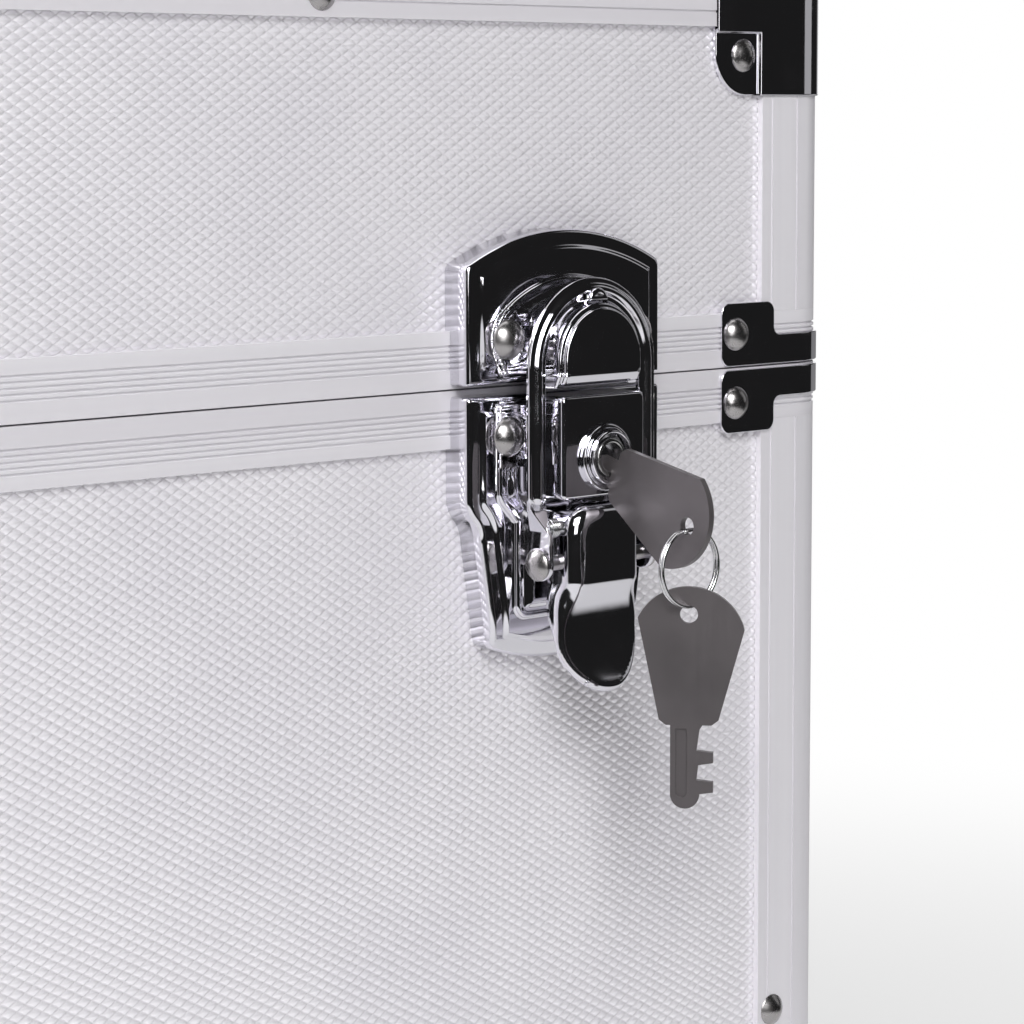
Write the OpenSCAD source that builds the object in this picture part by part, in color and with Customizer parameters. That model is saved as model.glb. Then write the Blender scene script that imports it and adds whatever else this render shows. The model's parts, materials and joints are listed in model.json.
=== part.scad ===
// Record carrying case: a boxed base and a hinged lid in embossed panel, edged with
// rounded metal profiles, corner caps and ribbed closure bands, with two draw latches.
// X is the width, Y runs front to back and Z is up, with Z = 0 under the feet.

/* [Case] */
// Width over the metal edges
case_w = 360; // [345:1:380]
// Depth over the metal edges
case_d = 230; // [205:1:260]
// Height of the base, from its underside up to the seam
base_h = 270; // [240:1:290]
// Height of the lid above the seam
lid_h = 85; // [75:1:110]
// Clear seam between the two closure bands
seam_gap = 0.3; // [0.3:0.1:0.5]
// Height of the rubber feet below the case
foot_h = 6; // [4:0.5:10]

/* [Panels and edge profiles] */
// Thickness of the embossed sandwich panels
panel_t = 4; // [3:0.5:4]
// Metal thickness of the edge profiles and closure bands
skin_t = 1.2; // [1:0.1:1.5]
// Length of each leg of the edge profile
edge_leg = 22; // [20:1:26]
// Outer radius of every case edge
edge_r = 12; // [10:1:13]
// Height of each ribbed closure band
band_h = 10; // [9:0.5:14]
// Height of the sealing tongue on the base band
tongue_h = 3; // [2:0.5:3]

/* [Corner caps and braces] */
// Length of each leg of a corner cap
cap_leg = 34.5; // [32:0.1:40]
// Metal thickness of the caps and braces
cap_t = 1; // [0.8:0.1:1.2]
// Width of a closure brace's tab
brace_w = 14.3; // [12:0.1:16]
// Height of a closure brace
brace_h = 11.8; // [11:0.1:14]
// Diameter of the dome rivet heads on the case
rivet_d = 6.3; // [5:0.1:7]

/* [Latches] */
// Distance from a latch's middle to the side of the case
latch_inset = 77.3; // [70:0.1:100]
// Width of a latch
latch_w = 46.7; // [44:0.1:50]
// Height of the catch plate's arched top above the seam
catch_top = 27.3; // [26:0.1:30]
// Depth of the latch plate's lower end below the seam
plate_low = 48.3; // [46:0.1:50]
// Height of the loop's arched top above the seam
loop_top = 19.1; // [18.8:0.1:19.4]
// Width over the loop
loop_w = 30.4; // [30:0.1:31]
// Width of the lock housing and the keeper dome
lock_w = 19.9; // [19:0.1:20]
// Depth of the lever's tip below the seam
lever_low = 53; // [51:0.5:56]

/* [Keys] */
// Angle at which the key in the lock droops
key_droop = 24; // [22:0.5:25]
// Angle of the spare key's face, turned about the upright
spare_turn = 40; // [35:1:45]
// Mean diameter of the split ring
ring_d = 13.2; // [12.6:0.1:14]

/* [Handle] */
// Distance between the handle's pivots
handle_span = 124; // [110:1:140]
// Diameter of the moulded grip at its middle
grip_d = 19; // [16:0.5:22]

/* [Hidden] */

$fn = 64;
eps = 0.01;

// Heights of the case's own levels.
base_z = foot_h;
seam_z = base_z + base_h;
top_z = seam_z + lid_h;
lid_low = seam_z + seam_gap;

// Panel slots, counted inwards from the metal's outer face.
slot_near = skin_t;
slot_far = skin_t + panel_t;
lip_far = slot_far + 1;
slot_floor = edge_r + skin_t;
run_start = edge_leg + 0.2;

// Closure bands: the tongue of the base stands in the groove of the lid.
web_t = 2;
tongue_near = 4;
tongue_t = 2;
groove_play = 0.4;
groove_roof = tongue_h + 0.8;
lid_web_top = groove_roof + 1.5;
lid_wall_far = tongue_near + tongue_t + groove_play + 1.2;
rib_pitch = 0.95;
rib_w = 0.45;
rib_depth = 0.35;
rib_count = 5;
lid_rib_low = 3.6;
base_rib_low = -7.7;

// Latch levels: u across, v up from the seam, n out from the metal face.
latch_x = case_w / 2 - latch_inset;
latch_hw = latch_w / 2;
pan_n = 4.6;
catch_floor_n = 6.4;
plate_floor_n = 6.2;
lock_face_n = 14.1;
lock_hw = lock_w / 2;
catch_arc_r = 49.2;
plate_arc_r = 47.5;
plate_top = 0.9;
plate_corner_r = 3;
plate_corner_u = 14.48;
plate_corner_v = 42.87;
shoe_v = 19.7;
shoe_r = 26;
shoe_turn = 38;
shoe_foot = 16.1;
shoulder_u = 11.7;
shoulder_v = 8.67;
shoulder_r = 7;
dome_top = 14.8;
lock_low = 19;
lock_wall = 1;
lock_v = -12;
bezel_n = 16.3;
bore_r = 4.3;
plug_play = 0.05;
pivot_v = -23.7;
pivot_n = 11.9;
pin_r = 1.1;
pin_play = 0.05;
pin_half = 11.7;
link_v = -30;
link_n = 10.9;
link_r = 1.3;
lever_hw = 9.65;
lever_t = 1;
lever_top_n = 15;
lever_top = 20.7;
lever_bend = 33.5;
flange_end = 31.2;
flange_r = 2.3;
flange_t = 0.9;
loop_hw = loop_w / 2;
loop_strap = 3.9;
loop_n = 10.3;
loop_leg_low = 20.5;
lug_hw = 2.3;
lug_v = 2.2;
lug_n = 2.7;
ear_near = 11.9;
ear_t = 0.9;
latch_rivet_u = 15.5;
latch_rivet_d = 7;

// Key sizes, from its shoulder: a runs along the key and b across it.
key_t = 1.2;
bow_corner = 17.5;
bow_long = 23.5;
bow_hw = 9.05;
bow_root_hw = 5.1;
bow_r = 9.8;
key_hole_r = 1.6;
key_hole_a = 18.3;
blade_long = 14.2;
blade_hw = 2.4;
blade_shift = -0.6;
key_n = 17.8;
key_v = -14.7;
ring_wire = 0.62;
hang_key = 0.6;
hang_spare = 0.4;
key_hole_n = key_n + key_hole_a * cos(key_droop);
key_hole_v = key_v - key_hole_a * sin(key_droop);
ring_top_v = key_hole_v - hang_key;
spare_hole_v = ring_top_v - ring_d - hang_spare;

// Hinges on the back, and the handle on the lid.
hinge_x = 95;
hinge_w = 50;
hinge_leaf_h = 26;
hinge_leaf_t = 1.6;
hinge_out = 3.8;
hinge_barrel_r = 3.1;
hinge_pin_r = 1.5;
hinge_knuckles = 5;
handle_out = 8;
bail_r = 2.5;
bail_reach = 31;
handle_z = top_z - skin_t + grip_d / 2 + 0.8;

// The case stands so that the whole object, keys and hinges too, is centred on Y = 0.
front_reach = key_hole_n + bow_hw * cos(spare_turn) + key_t / 2 * sin(spare_turn);
back_reach = hinge_out + hinge_barrel_r;
case_y = (front_reach - back_reach) / 2;

silver = [0.86, 0.85, 0.88];
steel = [0.75, 0.75, 0.77];
chrome = [0.45, 0.45, 0.48];
nickel = [0.62, 0.6, 0.6];
black = [0.1, 0.1, 0.11];

// ---------------------------------------------------------------- placing helpers

function wall_len(k) = k % 2 == 0 ? case_w : case_d;
function wall_out(k) = k % 2 == 0 ? case_d / 2 : case_w / 2;

// Wall k (0 front, 1 right, 2 back, 3 left): x along it, y up, z outwards.
module on_wall(k, t, z, n = 0) {
  translate([0, case_y, 0])
    rotate([0, 0, 90 * k])
      translate([t, -(wall_out(k) + n), z])
        rotate([90, 0, 0])
          children();
}

// A case corner, with x, y and z running inwards from its three outer planes.
module at_corner(sx, sy, z, up = 1) {
  translate([sx * case_w / 2, case_y + sy * case_d / 2, z])
    mirror([sx > 0 ? 1 : 0, 0, 0])
      mirror([0, sy > 0 ? 1 : 0, 0])
        mirror([0, 0, up > 0 ? 0 : 1])
          children();
}

module four_corners(z, up = 1) {
  for (sx = [-1, 1], sy = [-1, 1]) at_corner(sx, sy, z, up) children();
}

// Latch frame on the front: x across the latch, y up from the seam, z outwards.
module at_latch(side) {
  on_wall(0, side * latch_x, seam_z) children();
}

module rounded_rect(w, h, r) {
  square([w, h - 2 * r], center = true);
  square([w - 2 * r, h], center = true);
  for (x = [-1, 1], y = [-1, 1])
    translate([x * (w / 2 - r), y * (h / 2 - r)]) circle(r, $fn = 24);
}

// Low dome rivet head, standing on z = 0.
module rivet(d, h = 2) {
  ball_r = (d * d / 4 + h * h) / (2 * h);
  intersection() {
    translate([0, 0, h - ball_r]) sphere(ball_r, $fn = 40);
    cylinder(h = h + 1, r = d / 2, $fn = 32);
  }
}

// ---------------------------------------------------------------- edge profiles

// Extruded edge profile: a rounded outer skin, a slot for each panel and a hollow core.
module edge_section() {
  inner = lip_far - 1;
  difference() {
    union() {
      intersection() {
        translate([edge_r, edge_r]) circle(edge_r);
        square(edge_r);
      }
      translate([edge_r - eps, 0]) square([edge_leg - edge_r + eps, skin_t]);
      translate([0, edge_r - eps]) square([skin_t, edge_leg - edge_r + eps]);
    }
    intersection() {
      translate([edge_r, edge_r]) circle(edge_r - skin_t);
      translate([-1, -1]) square(edge_r + 1);
    }
    translate([edge_r - eps, skin_t]) square(edge_leg);
    translate([skin_t, edge_r - eps]) square(edge_leg);
    for (at = [edge_r + 0.2, edge_leg - 2.9]) {
      translate([at, -eps]) square([0.4, 0.25]);
      translate([-eps, at]) square([0.25, 0.4]);
    }
  }
  translate([edge_r, skin_t - eps]) square([skin_t, panel_t + eps]);
  translate([skin_t - eps, edge_r]) square([panel_t + eps, skin_t]);
  translate([inner, inner]) square([edge_leg - 2 - inner, 1]);
  translate([inner, inner]) square([1, edge_leg - 2 - inner]);
}

// Upright profiles from one level to another.
module uprights(z0, z1) {
  four_corners(z0) linear_extrude(z1 - z0) edge_section();
}

// Profiles along the four horizontal edges at the level z.
module edge_runs(z, up) {
  for (s = [-1, 1]) {
    at_corner(-1, s, z, up)
      translate([run_start, 0, 0])
        rotate([90, 0, 90]) linear_extrude(case_w - 2 * run_start) edge_section();
    at_corner(s, -1, z, up)
      translate([0, case_d - run_start, 0])
        rotate([90, 0, 0]) linear_extrude(case_d - 2 * run_start) edge_section();
  }
}

// ---------------------------------------------------------------- panels

module wall_panel(k, z0, z1) {
  color(silver)
    on_wall(k, 0, (z0 + z1) / 2, -slot_far)
      linear_extrude(panel_t)
        square([wall_len(k) - 2 * slot_floor, z1 - z0], center = true);
}

module flat_panel(z) {
  color(silver)
    translate([0, case_y, z])
      linear_extrude(panel_t)
        square([case_w - 2 * slot_floor, case_d - 2 * slot_floor], center = true);
}

module base_wall(k) wall_panel(k, base_z + slot_floor, seam_z - web_t);
module lid_wall(k) wall_panel(k, seam_z + lid_web_top, top_z - slot_floor);

module base_front_panel() base_wall(0);
module base_right_panel() base_wall(1);
module base_back_panel() base_wall(2);
module base_left_panel() base_wall(3);
module base_floor_panel() flat_panel(base_z + slot_near);
module lid_front_panel() lid_wall(0);
module lid_right_panel() lid_wall(1);
module lid_back_panel() lid_wall(2);
module lid_left_panel() lid_wall(3);
module lid_top_panel() flat_panel(top_z - slot_far);

module base_upright_profiles() color(silver) uprights(base_z + run_start, seam_z - band_h);
module base_bottom_profiles() color(silver) edge_runs(base_z, 1);
module lid_upright_profiles() color(silver) uprights(lid_low + band_h, top_z - run_start);
module lid_top_profiles() color(silver) edge_runs(top_z, -1);

// ---------------------------------------------------------------- closure bands

// Grooves between the ribs on a band's outer face; low is the first groove's level.
module rib_grooves(low) {
  for (i = [0:rib_count - 1])
    translate([-eps, low + i * rib_pitch]) square([rib_depth + eps, rib_w]);
}

// Base band: x is the depth into the wall, y the height from the seam.
module base_band_section() {
  difference() {
    translate([0, -band_h]) square([skin_t, band_h]);
    rib_grooves(base_rib_low);
  }
  translate([skin_t - eps, -web_t]) square([lip_far - skin_t + eps, web_t]);
  translate([slot_far, -8]) square([lip_far - slot_far, 8]);
  translate([tongue_near, -eps]) square([tongue_t, tongue_h + eps]);
}

// Lid band, with the groove that takes the tongue.
module lid_band_section() {
  difference() {
    translate([0, seam_gap]) square([lid_wall_far, lid_web_top - seam_gap]);
    translate([tongue_near - groove_play, 0])
      square([tongue_t + 2 * groove_play, groove_roof]);
    rib_grooves(lid_rib_low);
  }
  difference() {
    translate([0, seam_gap]) square([skin_t, band_h]);
    rib_grooves(lid_rib_low);
  }
  translate([slot_far, lid_web_top - eps]) square([1, 4]);
}

// A band in four lengths, each straight with a rounded corner at its right end.
module closure_ring() {
  butt = 0.1;
  for (k = [0:3]) {
    run = wall_len(k) - 2 * edge_r - butt;
    on_wall(k, -wall_len(k) / 2 + edge_r + butt, seam_z)
      rotate([0, 90, 0])
        linear_extrude(run + eps) children();
    on_wall(k, wall_len(k) / 2 - edge_r, seam_z, -edge_r)
      rotate([-90, -90, 0])
        rotate_extrude(angle = 90)
          translate([edge_r, 0]) mirror([1, 0]) children();
  }
}

module base_closure_band() color(silver) closure_ring() base_band_section();
module lid_closure_band() color(silver) closure_ring() lid_band_section();

// ---------------------------------------------------------------- corner caps

// Solid of a rounded corner with radius r about the edge centres, out to reach.
module corner_solid(r, reach) {
  c = edge_r;
  far = reach - c;
  translate([c, c, c]) sphere(r);
  translate([c, c, c]) cube(far);
  translate([c, c, c]) cylinder(h = far, r = r);
  translate([c, c, c]) rotate([0, 90, 0]) cylinder(h = far, r = r);
  translate([c, c, c]) rotate([-90, 0, 0]) cylinder(h = far, r = r);
  translate([c - r, c, c]) cube([r, far, far]);
  translate([c, c - r, c]) cube([far, r, far]);
  translate([c, c, c - r]) cube([far, far, r]);
}

// Shallow tab on the panel, inside the two raised legs of one face.
module cap_tab() {
  tab = cap_leg - edge_leg;
  translate([edge_leg, edge_leg])
    intersection() {
      square(tab);
      union() {
        square([tab - 8, tab]);
        square([tab, tab - 8]);
        translate([tab - 8, tab - 8]) circle(8);
      }
    }
}

// Steel cap over one corner: raised legs over the profiles and a tab on each panel.
module corner_cap() {
  difference() {
    intersection() {
      corner_solid(edge_r + cap_t, cap_leg);
      union() {
        cube([2 * cap_leg, 2 * edge_leg + 2, 2 * edge_leg + 2], center = true);
        cube([2 * edge_leg + 2, 2 * cap_leg, 2 * edge_leg + 2], center = true);
        cube([2 * edge_leg + 2, 2 * edge_leg + 2, 2 * cap_leg], center = true);
      }
    }
    corner_solid(edge_r, 2 * cap_leg);
  }
  for (turn = [[0, 0, 0], [0, -90, -90], [90, 0, 90]])
    rotate(turn) {
      linear_extrude(skin_t) cap_tab_rim();
      translate([0, 0, skin_t - cap_t]) linear_extrude(cap_t) cap_tab();
    }
}

// Upstand that joins a tab to the raised legs.
module cap_tab_rim() {
  translate([edge_leg, edge_leg]) square([cap_leg - edge_leg, 1]);
  translate([edge_leg, edge_leg]) square([1, cap_leg - edge_leg]);
}

module base_corner_caps() color(chrome) four_corners(base_z) corner_cap();
module lid_corner_caps() color(chrome) four_corners(top_z, -1) corner_cap();

// ---------------------------------------------------------------- closure braces

brace_far = 33.3;
brace_arm = 5.5;
brace_lift = 0.3;
brace_fillet = 1.6;
brace_rivet = 29.6;
brace_rivet_z = 6.4;

// Face of a brace seen from outside: x in from the corner, y away from the seam.
module brace_face() {
  near = brace_far - brace_w;
  translate([near + brace_w / 2, brace_lift + brace_h / 2]) rounded_rect(brace_w, brace_h, 2);
  translate([edge_r, brace_lift]) square([near + 3 - edge_r, brace_arm]);
  translate([near - brace_fillet, brace_lift + brace_arm - eps])
    difference() {
      square(brace_fillet + eps);
      translate([0, brace_fillet + eps]) circle(brace_fillet, $fn = 32);
    }
}

// One brace, bent round an upright edge, with a tab on both faces.
module brace() {
  rotate([90, 0, 0]) linear_extrude(cap_t) brace_face();
  rotate([90, 0, 90]) mirror([0, 0, 1]) linear_extrude(cap_t) brace_face();
  intersection() {
    translate([edge_r, edge_r, brace_lift])
      difference() {
        cylinder(h = brace_arm, r = edge_r + cap_t);
        translate([0, 0, -1]) cylinder(h = brace_arm + 2, r = edge_r);
      }
    translate([-cap_t, -cap_t, 0]) cube([edge_r + cap_t, edge_r + cap_t, 2 * brace_h]);
  }
}

module base_braces() color(chrome) four_corners(seam_z, -1) brace();
module lid_braces() color(chrome) four_corners(lid_low - 0.2, 1) brace();

// ---------------------------------------------------------------- case rivets

edge_rivet = 18;
cap_rivet = 27.2;

// Brace rivets on both faces of each corner, at the height z.
module brace_rivets(z) {
  for (k = [0:3], s = [-1, 1])
    on_wall(k, s * (wall_len(k) / 2 - brace_rivet), z, cap_t) rivet(rivet_d);
}

// Rivets in the cap tabs on the walls, at the height z.
module cap_wall_rivets(z) {
  for (k = [0:3], s = [-1, 1])
    on_wall(k, s * (wall_len(k) / 2 - cap_rivet), z, cap_t - skin_t) rivet(rivet_d);
}

// Rivets in the cap tabs on the top or the underside.
module cap_flat_rivets(z, up) {
  four_corners(z, up) translate([cap_rivet, cap_rivet, skin_t - cap_t]) mirror([0, 0, 1]) rivet(rivet_d);
}

// Rivets along the horizontal profiles: a pair on the long walls, one on the short.
module run_rivets(z) {
  for (k = [0, 2], s = [-1, 1]) on_wall(k, s * (case_w / 2 - 128.3), z) rivet(rivet_d);
  for (k = [1, 3]) on_wall(k, 0, z) rivet(rivet_d);
}

module base_rivets() {
  color(steel) {
    brace_rivets(seam_z - brace_rivet_z);
    cap_wall_rivets(base_z + cap_rivet);
    cap_flat_rivets(base_z, 1);
    run_rivets(base_z + edge_rivet);
    for (k = [0:3], s = [-1, 1])
      on_wall(k, s * (wall_len(k) / 2 - edge_rivet), seam_z - 125) rivet(rivet_d);
  }
}

module lid_rivets() {
  color(steel) {
    brace_rivets(seam_z + brace_rivet_z);
    cap_wall_rivets(top_z - cap_rivet);
    cap_flat_rivets(top_z, -1);
    run_rivets(top_z - edge_rivet);
  }
}

// ---------------------------------------------------------------- linings and feet

lining_t = 2;
lining_corner = edge_r - lip_far + 0.2;

// Space inside a lining's walls, for a lining of the outer size w by d.
module lining_space(w, d) {
  rounded_rect(w - 2 * lining_t, d - 2 * lining_t, lining_corner - lining_t);
}

// Foam tray that lines the base, open upwards.
module base_lining() {
  w = case_w - 2 * lip_far;
  d = case_d - 2 * lip_far;
  color(black)
    translate([0, case_y, base_z + lip_far])
      difference() {
        linear_extrude(seam_z - 1 - base_z - lip_far) rounded_rect(w, d, lining_corner);
        translate([0, 0, 3]) linear_extrude(base_h) lining_space(w, d);
      }
}

// Foam pad and walls inside the lid, open downwards.
module lid_lining() {
  low = seam_z + lid_web_top + 4.5;
  high = top_z - lip_far;
  w = case_w - 2 * lip_far;
  d = case_d - 2 * lip_far;
  color(black)
    translate([0, case_y, low])
      difference() {
        linear_extrude(high - low) rounded_rect(w, d, lining_corner);
        translate([0, 0, -1]) linear_extrude(high - low - 7) lining_space(w, d);
      }
}

module at_feet() {
  for (sx = [-1, 1], sy = [-1, 1])
    translate([sx * (case_w / 2 - 52), case_y + sy * (case_d / 2 - 50), 0]) children();
}

module feet() {
  color(black)
    at_feet()
      difference() {
        cylinder(h = foot_h + skin_t, r1 = 9.5, r2 = 11);
        translate([0, 0, -1]) cylinder(h = 4, r = 4.6);
        cylinder(h = 20, r = 2);
      }
}

module foot_screws() {
  color(steel)
    at_feet() {
      translate([0, 0, 1.2]) cylinder(h = 1.8, r1 = 3.4, r2 = 4.2);
      translate([0, 0, 3 - eps]) cylinder(h = foot_h + skin_t - 3 + eps, r = 2);
    }
}

// ---------------------------------------------------------------- hinges

// Knuckle i of a hinge, about the pin axis along x.
module knuckle(i) {
  pitch = hinge_w / hinge_knuckles;
  translate([-hinge_w / 2 + i * pitch + 0.2, 0, 0])
    rotate([0, 90, 0]) cylinder(h = pitch - 0.4, r = hinge_barrel_r, $fn = 40);
}

// One leaf: a stepped plate that lies on the band and the panel, with its knuckles.
module hinge_leaf(side, first) {
  pitch = hinge_w / hinge_knuckles;
  play = first == 0 ? 0 : 0.08;
  difference() {
    union() {
      translate([-hinge_w / 2, min(side * 0.6, side * (band_h + 0.4)), 0])
        cube([hinge_w, band_h - 0.2, hinge_leaf_t]);
      translate([-hinge_w / 2, side > 0 ? band_h + 0.4 : -hinge_leaf_h, -skin_t])
        cube([hinge_w, hinge_leaf_h - band_h - 0.4, hinge_leaf_t + skin_t]);
      for (i = [first:2:hinge_knuckles - 1]) {
        translate([0, 0, hinge_out]) knuckle(i);
        translate([-hinge_w / 2 + i * pitch + 0.2, side > 0 ? 0 : -hinge_barrel_r, 0])
          cube([pitch - 0.4, hinge_barrel_r, hinge_out - 1.6]);
      }
    }
    for (i = [1 - first:2:hinge_knuckles - 1])
      translate([-hinge_w / 2 + i * pitch - 0.1, -hinge_barrel_r - 0.5, -2])
        cube([pitch + 0.2, 2 * hinge_barrel_r + 1, 12]);
    translate([-hinge_w, 0, hinge_out])
      rotate([0, 90, 0]) cylinder(h = 2 * hinge_w, r = hinge_pin_r + play, $fn = 32);
  }
}

module at_hinges() {
  for (s = [-1, 1]) on_wall(2, s * hinge_x, seam_z + seam_gap / 2) children();
}

module hinge_base_leaves() color(steel) at_hinges() hinge_leaf(-1, 0);
module hinge_lid_leaves() color(steel) at_hinges() hinge_leaf(1, 1);

module hinge_pins() {
  color(steel)
    at_hinges()
      translate([-hinge_w / 2, 0, hinge_out])
        rotate([0, 90, 0]) cylinder(h = hinge_w, r = hinge_pin_r, $fn = 32);
}

// ---------------------------------------------------------------- handle

module handle_brackets() {
  foot_z = top_z - skin_t;
  color(chrome)
    for (s = [-1, 1])
      translate([s * (handle_span / 2 + handle_out), case_y, foot_z])
        difference() {
          union() {
            linear_extrude(1.6) rounded_rect(22, 34, 4);
            rotate([90, 0, 90])
              translate([0, 0, -5])
                linear_extrude(10) {
                  translate([-6, 0]) square([12, handle_z - foot_z]);
                  translate([0, handle_z - foot_z]) circle(6);
                }
          }
          translate([-20, 0, handle_z - foot_z])
            rotate([0, 90, 0]) cylinder(h = 40, r = bail_r + 0.06, $fn = 32);
        }
}

// Steel bail: two pivot stubs, two arms and a cross bar.
module handle_bail() {
  pin_end = handle_span / 2 + handle_out + 7;
  arm_x = handle_span / 2 - 1;
  color(steel)
    translate([0, case_y, handle_z]) {
      for (s = [-1, 1]) {
        translate([s > 0 ? arm_x : -pin_end, 0, 0])
          rotate([0, 90, 0]) cylinder(h = pin_end - arm_x, r = bail_r, $fn = 32);
        translate([s * arm_x - 2.5, -bail_reach, -bail_r]) cube([5, bail_reach, 2 * bail_r]);
        translate([s * arm_x - 2.5, 0, 0])
          rotate([0, 90, 0]) cylinder(h = 5, r = 4.2, $fn = 32);
        translate([s * arm_x - 2.5, -bail_reach, 0])
          rotate([0, 90, 0]) cylinder(h = 5, r = 4.2, $fn = 32);
      }
      translate([-arm_x, -bail_reach, 0])
        rotate([0, 90, 0]) cylinder(h = 2 * arm_x, r = bail_r, $fn = 32);
    }
}

// Moulded grip, turned about the bar, fuller at the middle and waisted at its ends.
module handle_grip() {
  half = handle_span / 2 - 4.5;
  steps = 16;
  swell = grip_d / 2 - 6.6;
  color(black)
    translate([0, case_y - bail_reach, handle_z])
      rotate([0, 90, 0])
        rotate_extrude($fn = 48)
          polygon([
            [bail_r, -half],
            [7.4, -half],
            [8.2, -half + 1.5],
            [8.2, -half + 4],
            for (i = [0:steps])
              let (t = -1 + 2 * i / steps)
                [6.6 + swell * (1 + cos(180 * t)) / 2, t * (half - 6)],
            [8.2, half - 4],
            [8.2, half - 1.5],
            [7.4, half],
            [bail_r, half]
          ]);
}

// ---------------------------------------------------------------- latch plates

// Arched outline with straight sides: half-width, level of the foot and of the crown.
module arch(hw, foot, crown) {
  intersection() {
    translate([-hw, foot]) square([2 * hw, crown - foot]);
    union() {
      translate([0, crown - hw]) circle(hw);
      translate([-hw, foot - 2 * hw]) square([2 * hw, crown - foot + hw]);
    }
  }
}

// Outlines of the two plates; each raised step is inset from the one below.
module catch_outline(inset) {
  intersection() {
    translate([-latch_hw + inset, plate_top + inset]) square([latch_w - 2 * inset, 40]);
    translate([0, catch_top - catch_arc_r]) circle(catch_arc_r - inset, $fn = 160);
  }
}

module plate_outline(inset) {
  side = [
    [latch_hw - inset, -plate_top - inset],
    [latch_hw - inset, -19.5],
    [latch_hw - 0.9 - inset, -22],
    [20.1 - inset, -26],
    [16.5 - inset, -49.5]
  ];
  intersection() {
    polygon(concat(side, [for (i = [len(side) - 1:-1:0]) [-side[i][0], side[i][1]]]));
    translate([0, plate_arc_r - plate_low]) circle(plate_arc_r - inset, $fn = 160);
    union() {
      translate([-latch_hw, -plate_corner_v]) square([latch_w, plate_corner_v]);
      translate([-plate_corner_u, -plate_low]) square([2 * plate_corner_u, plate_low]);
      for (s = [-1, 1])
        translate([s * plate_corner_u, -plate_corner_v]) circle(max(plate_corner_r - inset, 0.2));
    }
  }
}

// Horseshoe platform: a flat arch with round shoulders, drawn in at its feet.
module horseshoe(inset) {
  side = shoulder_u + shoe_r * sin(shoe_turn);
  far = shoulder_v + shoe_r * cos(shoe_turn);
  intersection() {
    translate([0, shoe_v - shoe_r]) circle(shoe_r - inset, $fn = 160);
    polygon([[shoulder_u, shoulder_v], [side, far], [-side, far], [-shoulder_u, shoulder_v]]);
  }
  for (s = [-1, 1]) translate([s * shoulder_u, shoulder_v]) circle(shoulder_r - inset);
  for (s = [-1, 1])
    polygon([
      [0, plate_top + 1],
      [s * (shoe_foot - inset), plate_top + 1],
      [s * (shoulder_u + (shoulder_r - inset) * cos(27)), shoulder_v - (shoulder_r - inset) * sin(27)],
      [s * shoulder_u, shoulder_v],
      [0, shoulder_v]
    ]);
}

// Space of the closure bands and the seam, which the latch skirts stand on.
module band_clearance() {
  translate([-40, -band_h, -10]) cube([80, 2 * band_h + seam_gap, 10]);
}

// Catch plate on the lid: pressed pan, horseshoe platform and keeper dome.
module catch_plate() {
  difference() {
    union() {
      translate([0, 0, -skin_t]) linear_extrude(pan_n - 0.7 + skin_t) catch_outline(0);
      linear_extrude(pan_n - 0.3) catch_outline(0.4);
      linear_extrude(pan_n) catch_outline(1);
      linear_extrude(pan_n + 0.5) catch_outline(2.2);
      linear_extrude(catch_floor_n - 0.6) horseshoe(0);
      linear_extrude(catch_floor_n) horseshoe(0.8);
    }
    difference() {
      translate([0, 0, -5]) linear_extrude(5 + pan_n - 1) catch_outline(1.1);
      translate([-lock_hw, 0, -6]) cube([lock_w, 16, 12]);
    }
    band_clearance();
    for (s = [-1, 1])
      translate([s * latch_rivet_u, 8.8, -2]) cylinder(h = 12, r = 1.6, $fn = 24);
  }
  linear_extrude(lock_face_n - 1) arch(lock_hw, plate_top + 0.1, dome_top);
  linear_extrude(lock_face_n - 0.4) arch(lock_hw - 0.4, plate_top + 0.5, dome_top - 0.4);
  linear_extrude(lock_face_n) arch(lock_hw - 0.9, plate_top + 1, dome_top - 0.9);
}

// Latch plate on the base: pressed pan, platform, lock housing with its bezel, and ears.
module latch_plate() {
  difference() {
    union() {
      translate([0, 0, -skin_t]) linear_extrude(pan_n - 0.7 + skin_t) plate_outline(0);
      linear_extrude(pan_n - 0.3) plate_outline(0.4);
      linear_extrude(pan_n) plate_outline(1);
      linear_extrude(plate_floor_n - 0.8) plate_outline(2.6);
      linear_extrude(plate_floor_n) plate_outline(4.4);
      lock_housing();
      pivot_ears();
    }
    difference() {
      translate([0, 0, -5]) linear_extrude(5 + pan_n - 1) plate_outline(1.1);
      translate([-lock_hw, -lock_low, -6]) cube([lock_w, lock_low, 12]);
      translate([-8.2, -29, -6]) cube([16.4, 8, 12]);
    }
    band_clearance();
    translate([-lock_hw + lock_wall, -lock_low + lock_wall, -2])
      cube([lock_w - 2 * lock_wall, lock_low - 1 - 2 * lock_wall, lock_face_n + 1]);
    translate([0, lock_v, 0]) cylinder(h = 30, r = bore_r);
    translate([-20, pivot_v, pivot_n])
      rotate([0, 90, 0]) cylinder(h = 40, r = pin_r + pin_play, $fn = 32);
    for (s = [-1, 1])
      translate([s * latch_rivet_u, -7.9, -2]) cylinder(h = 12, r = 1.6, $fn = 24);
  }
}

// Fixed lock box with rounded edges and a coned bezel round the keyhole.
module lock_housing() {
  mid = -(lock_low + 1) / 2;
  tall = lock_low - 1;
  translate([0, mid, 0]) {
    linear_extrude(lock_face_n - 1) rounded_rect(lock_w, tall, 1.5);
    linear_extrude(lock_face_n - 0.4) rounded_rect(lock_w - 0.8, tall - 0.8, 1.3);
    linear_extrude(lock_face_n) rounded_rect(lock_w - 2.2, tall - 2.2, 1);
  }
  translate([0, lock_v, lock_face_n - eps]) cylinder(h = 1.2, r1 = 6.2, r2 = 5.9);
  translate([0, lock_v, lock_face_n]) cylinder(h = bezel_n - lock_face_n, r1 = 5.9, r2 = 5.2);
}

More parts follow.
